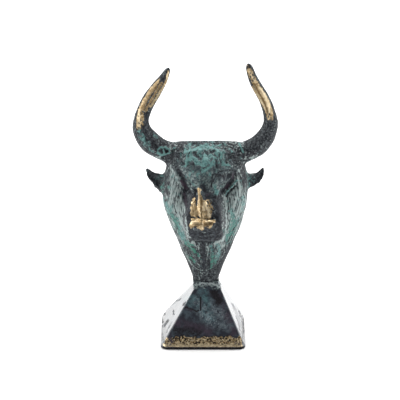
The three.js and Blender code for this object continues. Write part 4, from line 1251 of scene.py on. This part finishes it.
band_colour = mixed(tree, spread(noise_value(tree, 1.0, seed=5.0), 0.44, 0.62), BRASS_BROWN, BAND_BRASS)
glints = spread(noise_value(tree, 0.8, seed=19.0), 0.55, 0.62)
# The band's less pitted lower strip and painted glints are mixed towards light brass.
rubbed = math_node(tree, "MULTIPLY_ADD", attribute(tree, "pitted"), -0.8, 0.8)
band_colour = mixed(tree, math_node(tree, "MAXIMUM", glints, rubbed), band_colour, BRASS_HIGHLIGHT_AND_POLISH)
cells = tree.nodes.new("ShaderNodeTexVoronoi")
cells.inputs["Scale"].default_value = 1000 / DOT_SPACING
cell_places = tree.nodes.new("ShaderNodeTexCoord")
link(tree, cell_places.outputs["Object"], cells.inputs["Vector"])
uneven = math_node(tree, "MULTIPLY_ADD", noise_value(tree, 0.7, seed=24.0), 0.5, cells.outputs["Distance"])
dots = spread(uneven, 0.8, 0.7)
dots = math_node(tree, "MULTIPLY", dots, spread(noise_value(tree, 2.6, seed=9.0), 0.36, 0.5))
dots = math_node(tree, "MULTIPLY", dots, attribute(tree, "pitted"))
band_colour = mixed(tree, dots, band_colour, BAND_PIT)
colour = mixed(tree, band_mask, colour, band_colour)
# Near black for the flaws, the painted shade on the rim and edges, and the back faces.
colour = mixed(tree, attribute(tree, "flecks_shade_and_back"), colour, NEAR_BLACK)
link(tree, colour, shader.inputs["Base Color"])
link(tree, math_node(tree, "MULTIPLY", band_mask, 0.85), shader.inputs["Metallic"])
link(tree, math_node(tree, "ADD", math_node(tree, "MULTIPLY_ADD", band_mask, 0.2, 0.2), attribute(tree, "flecks_shade_and_back"), clamp=True),
     shader.inputs["Roughness"])
matte = math_node(tree, "MAXIMUM", attribute(tree, "flecks_shade_and_back"),
                  math_node(tree, "MAXIMUM", attribute(tree, "collar"), math_node(tree, "MULTIPLY", band_mask, 0.6)))
cloud = math_node(tree, "MULTIPLY_ADD", spread(noise_value(tree, 7.0, seed=2.0), 0.35, 0.65), -0.18, 0.95)
link(tree, math_node(tree, "MULTIPLY", math_node(tree, "SUBTRACT", 1.0, matte), cloud), shader.inputs["Coat Weight"])
shader.inputs["Specular IOR Level"].default_value = 0.15
shader.inputs["Coat Roughness"].default_value = 0.05
plinth_mesh.materials.append(gloss)

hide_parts("pyramid_plinth")
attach(plinth, "root")
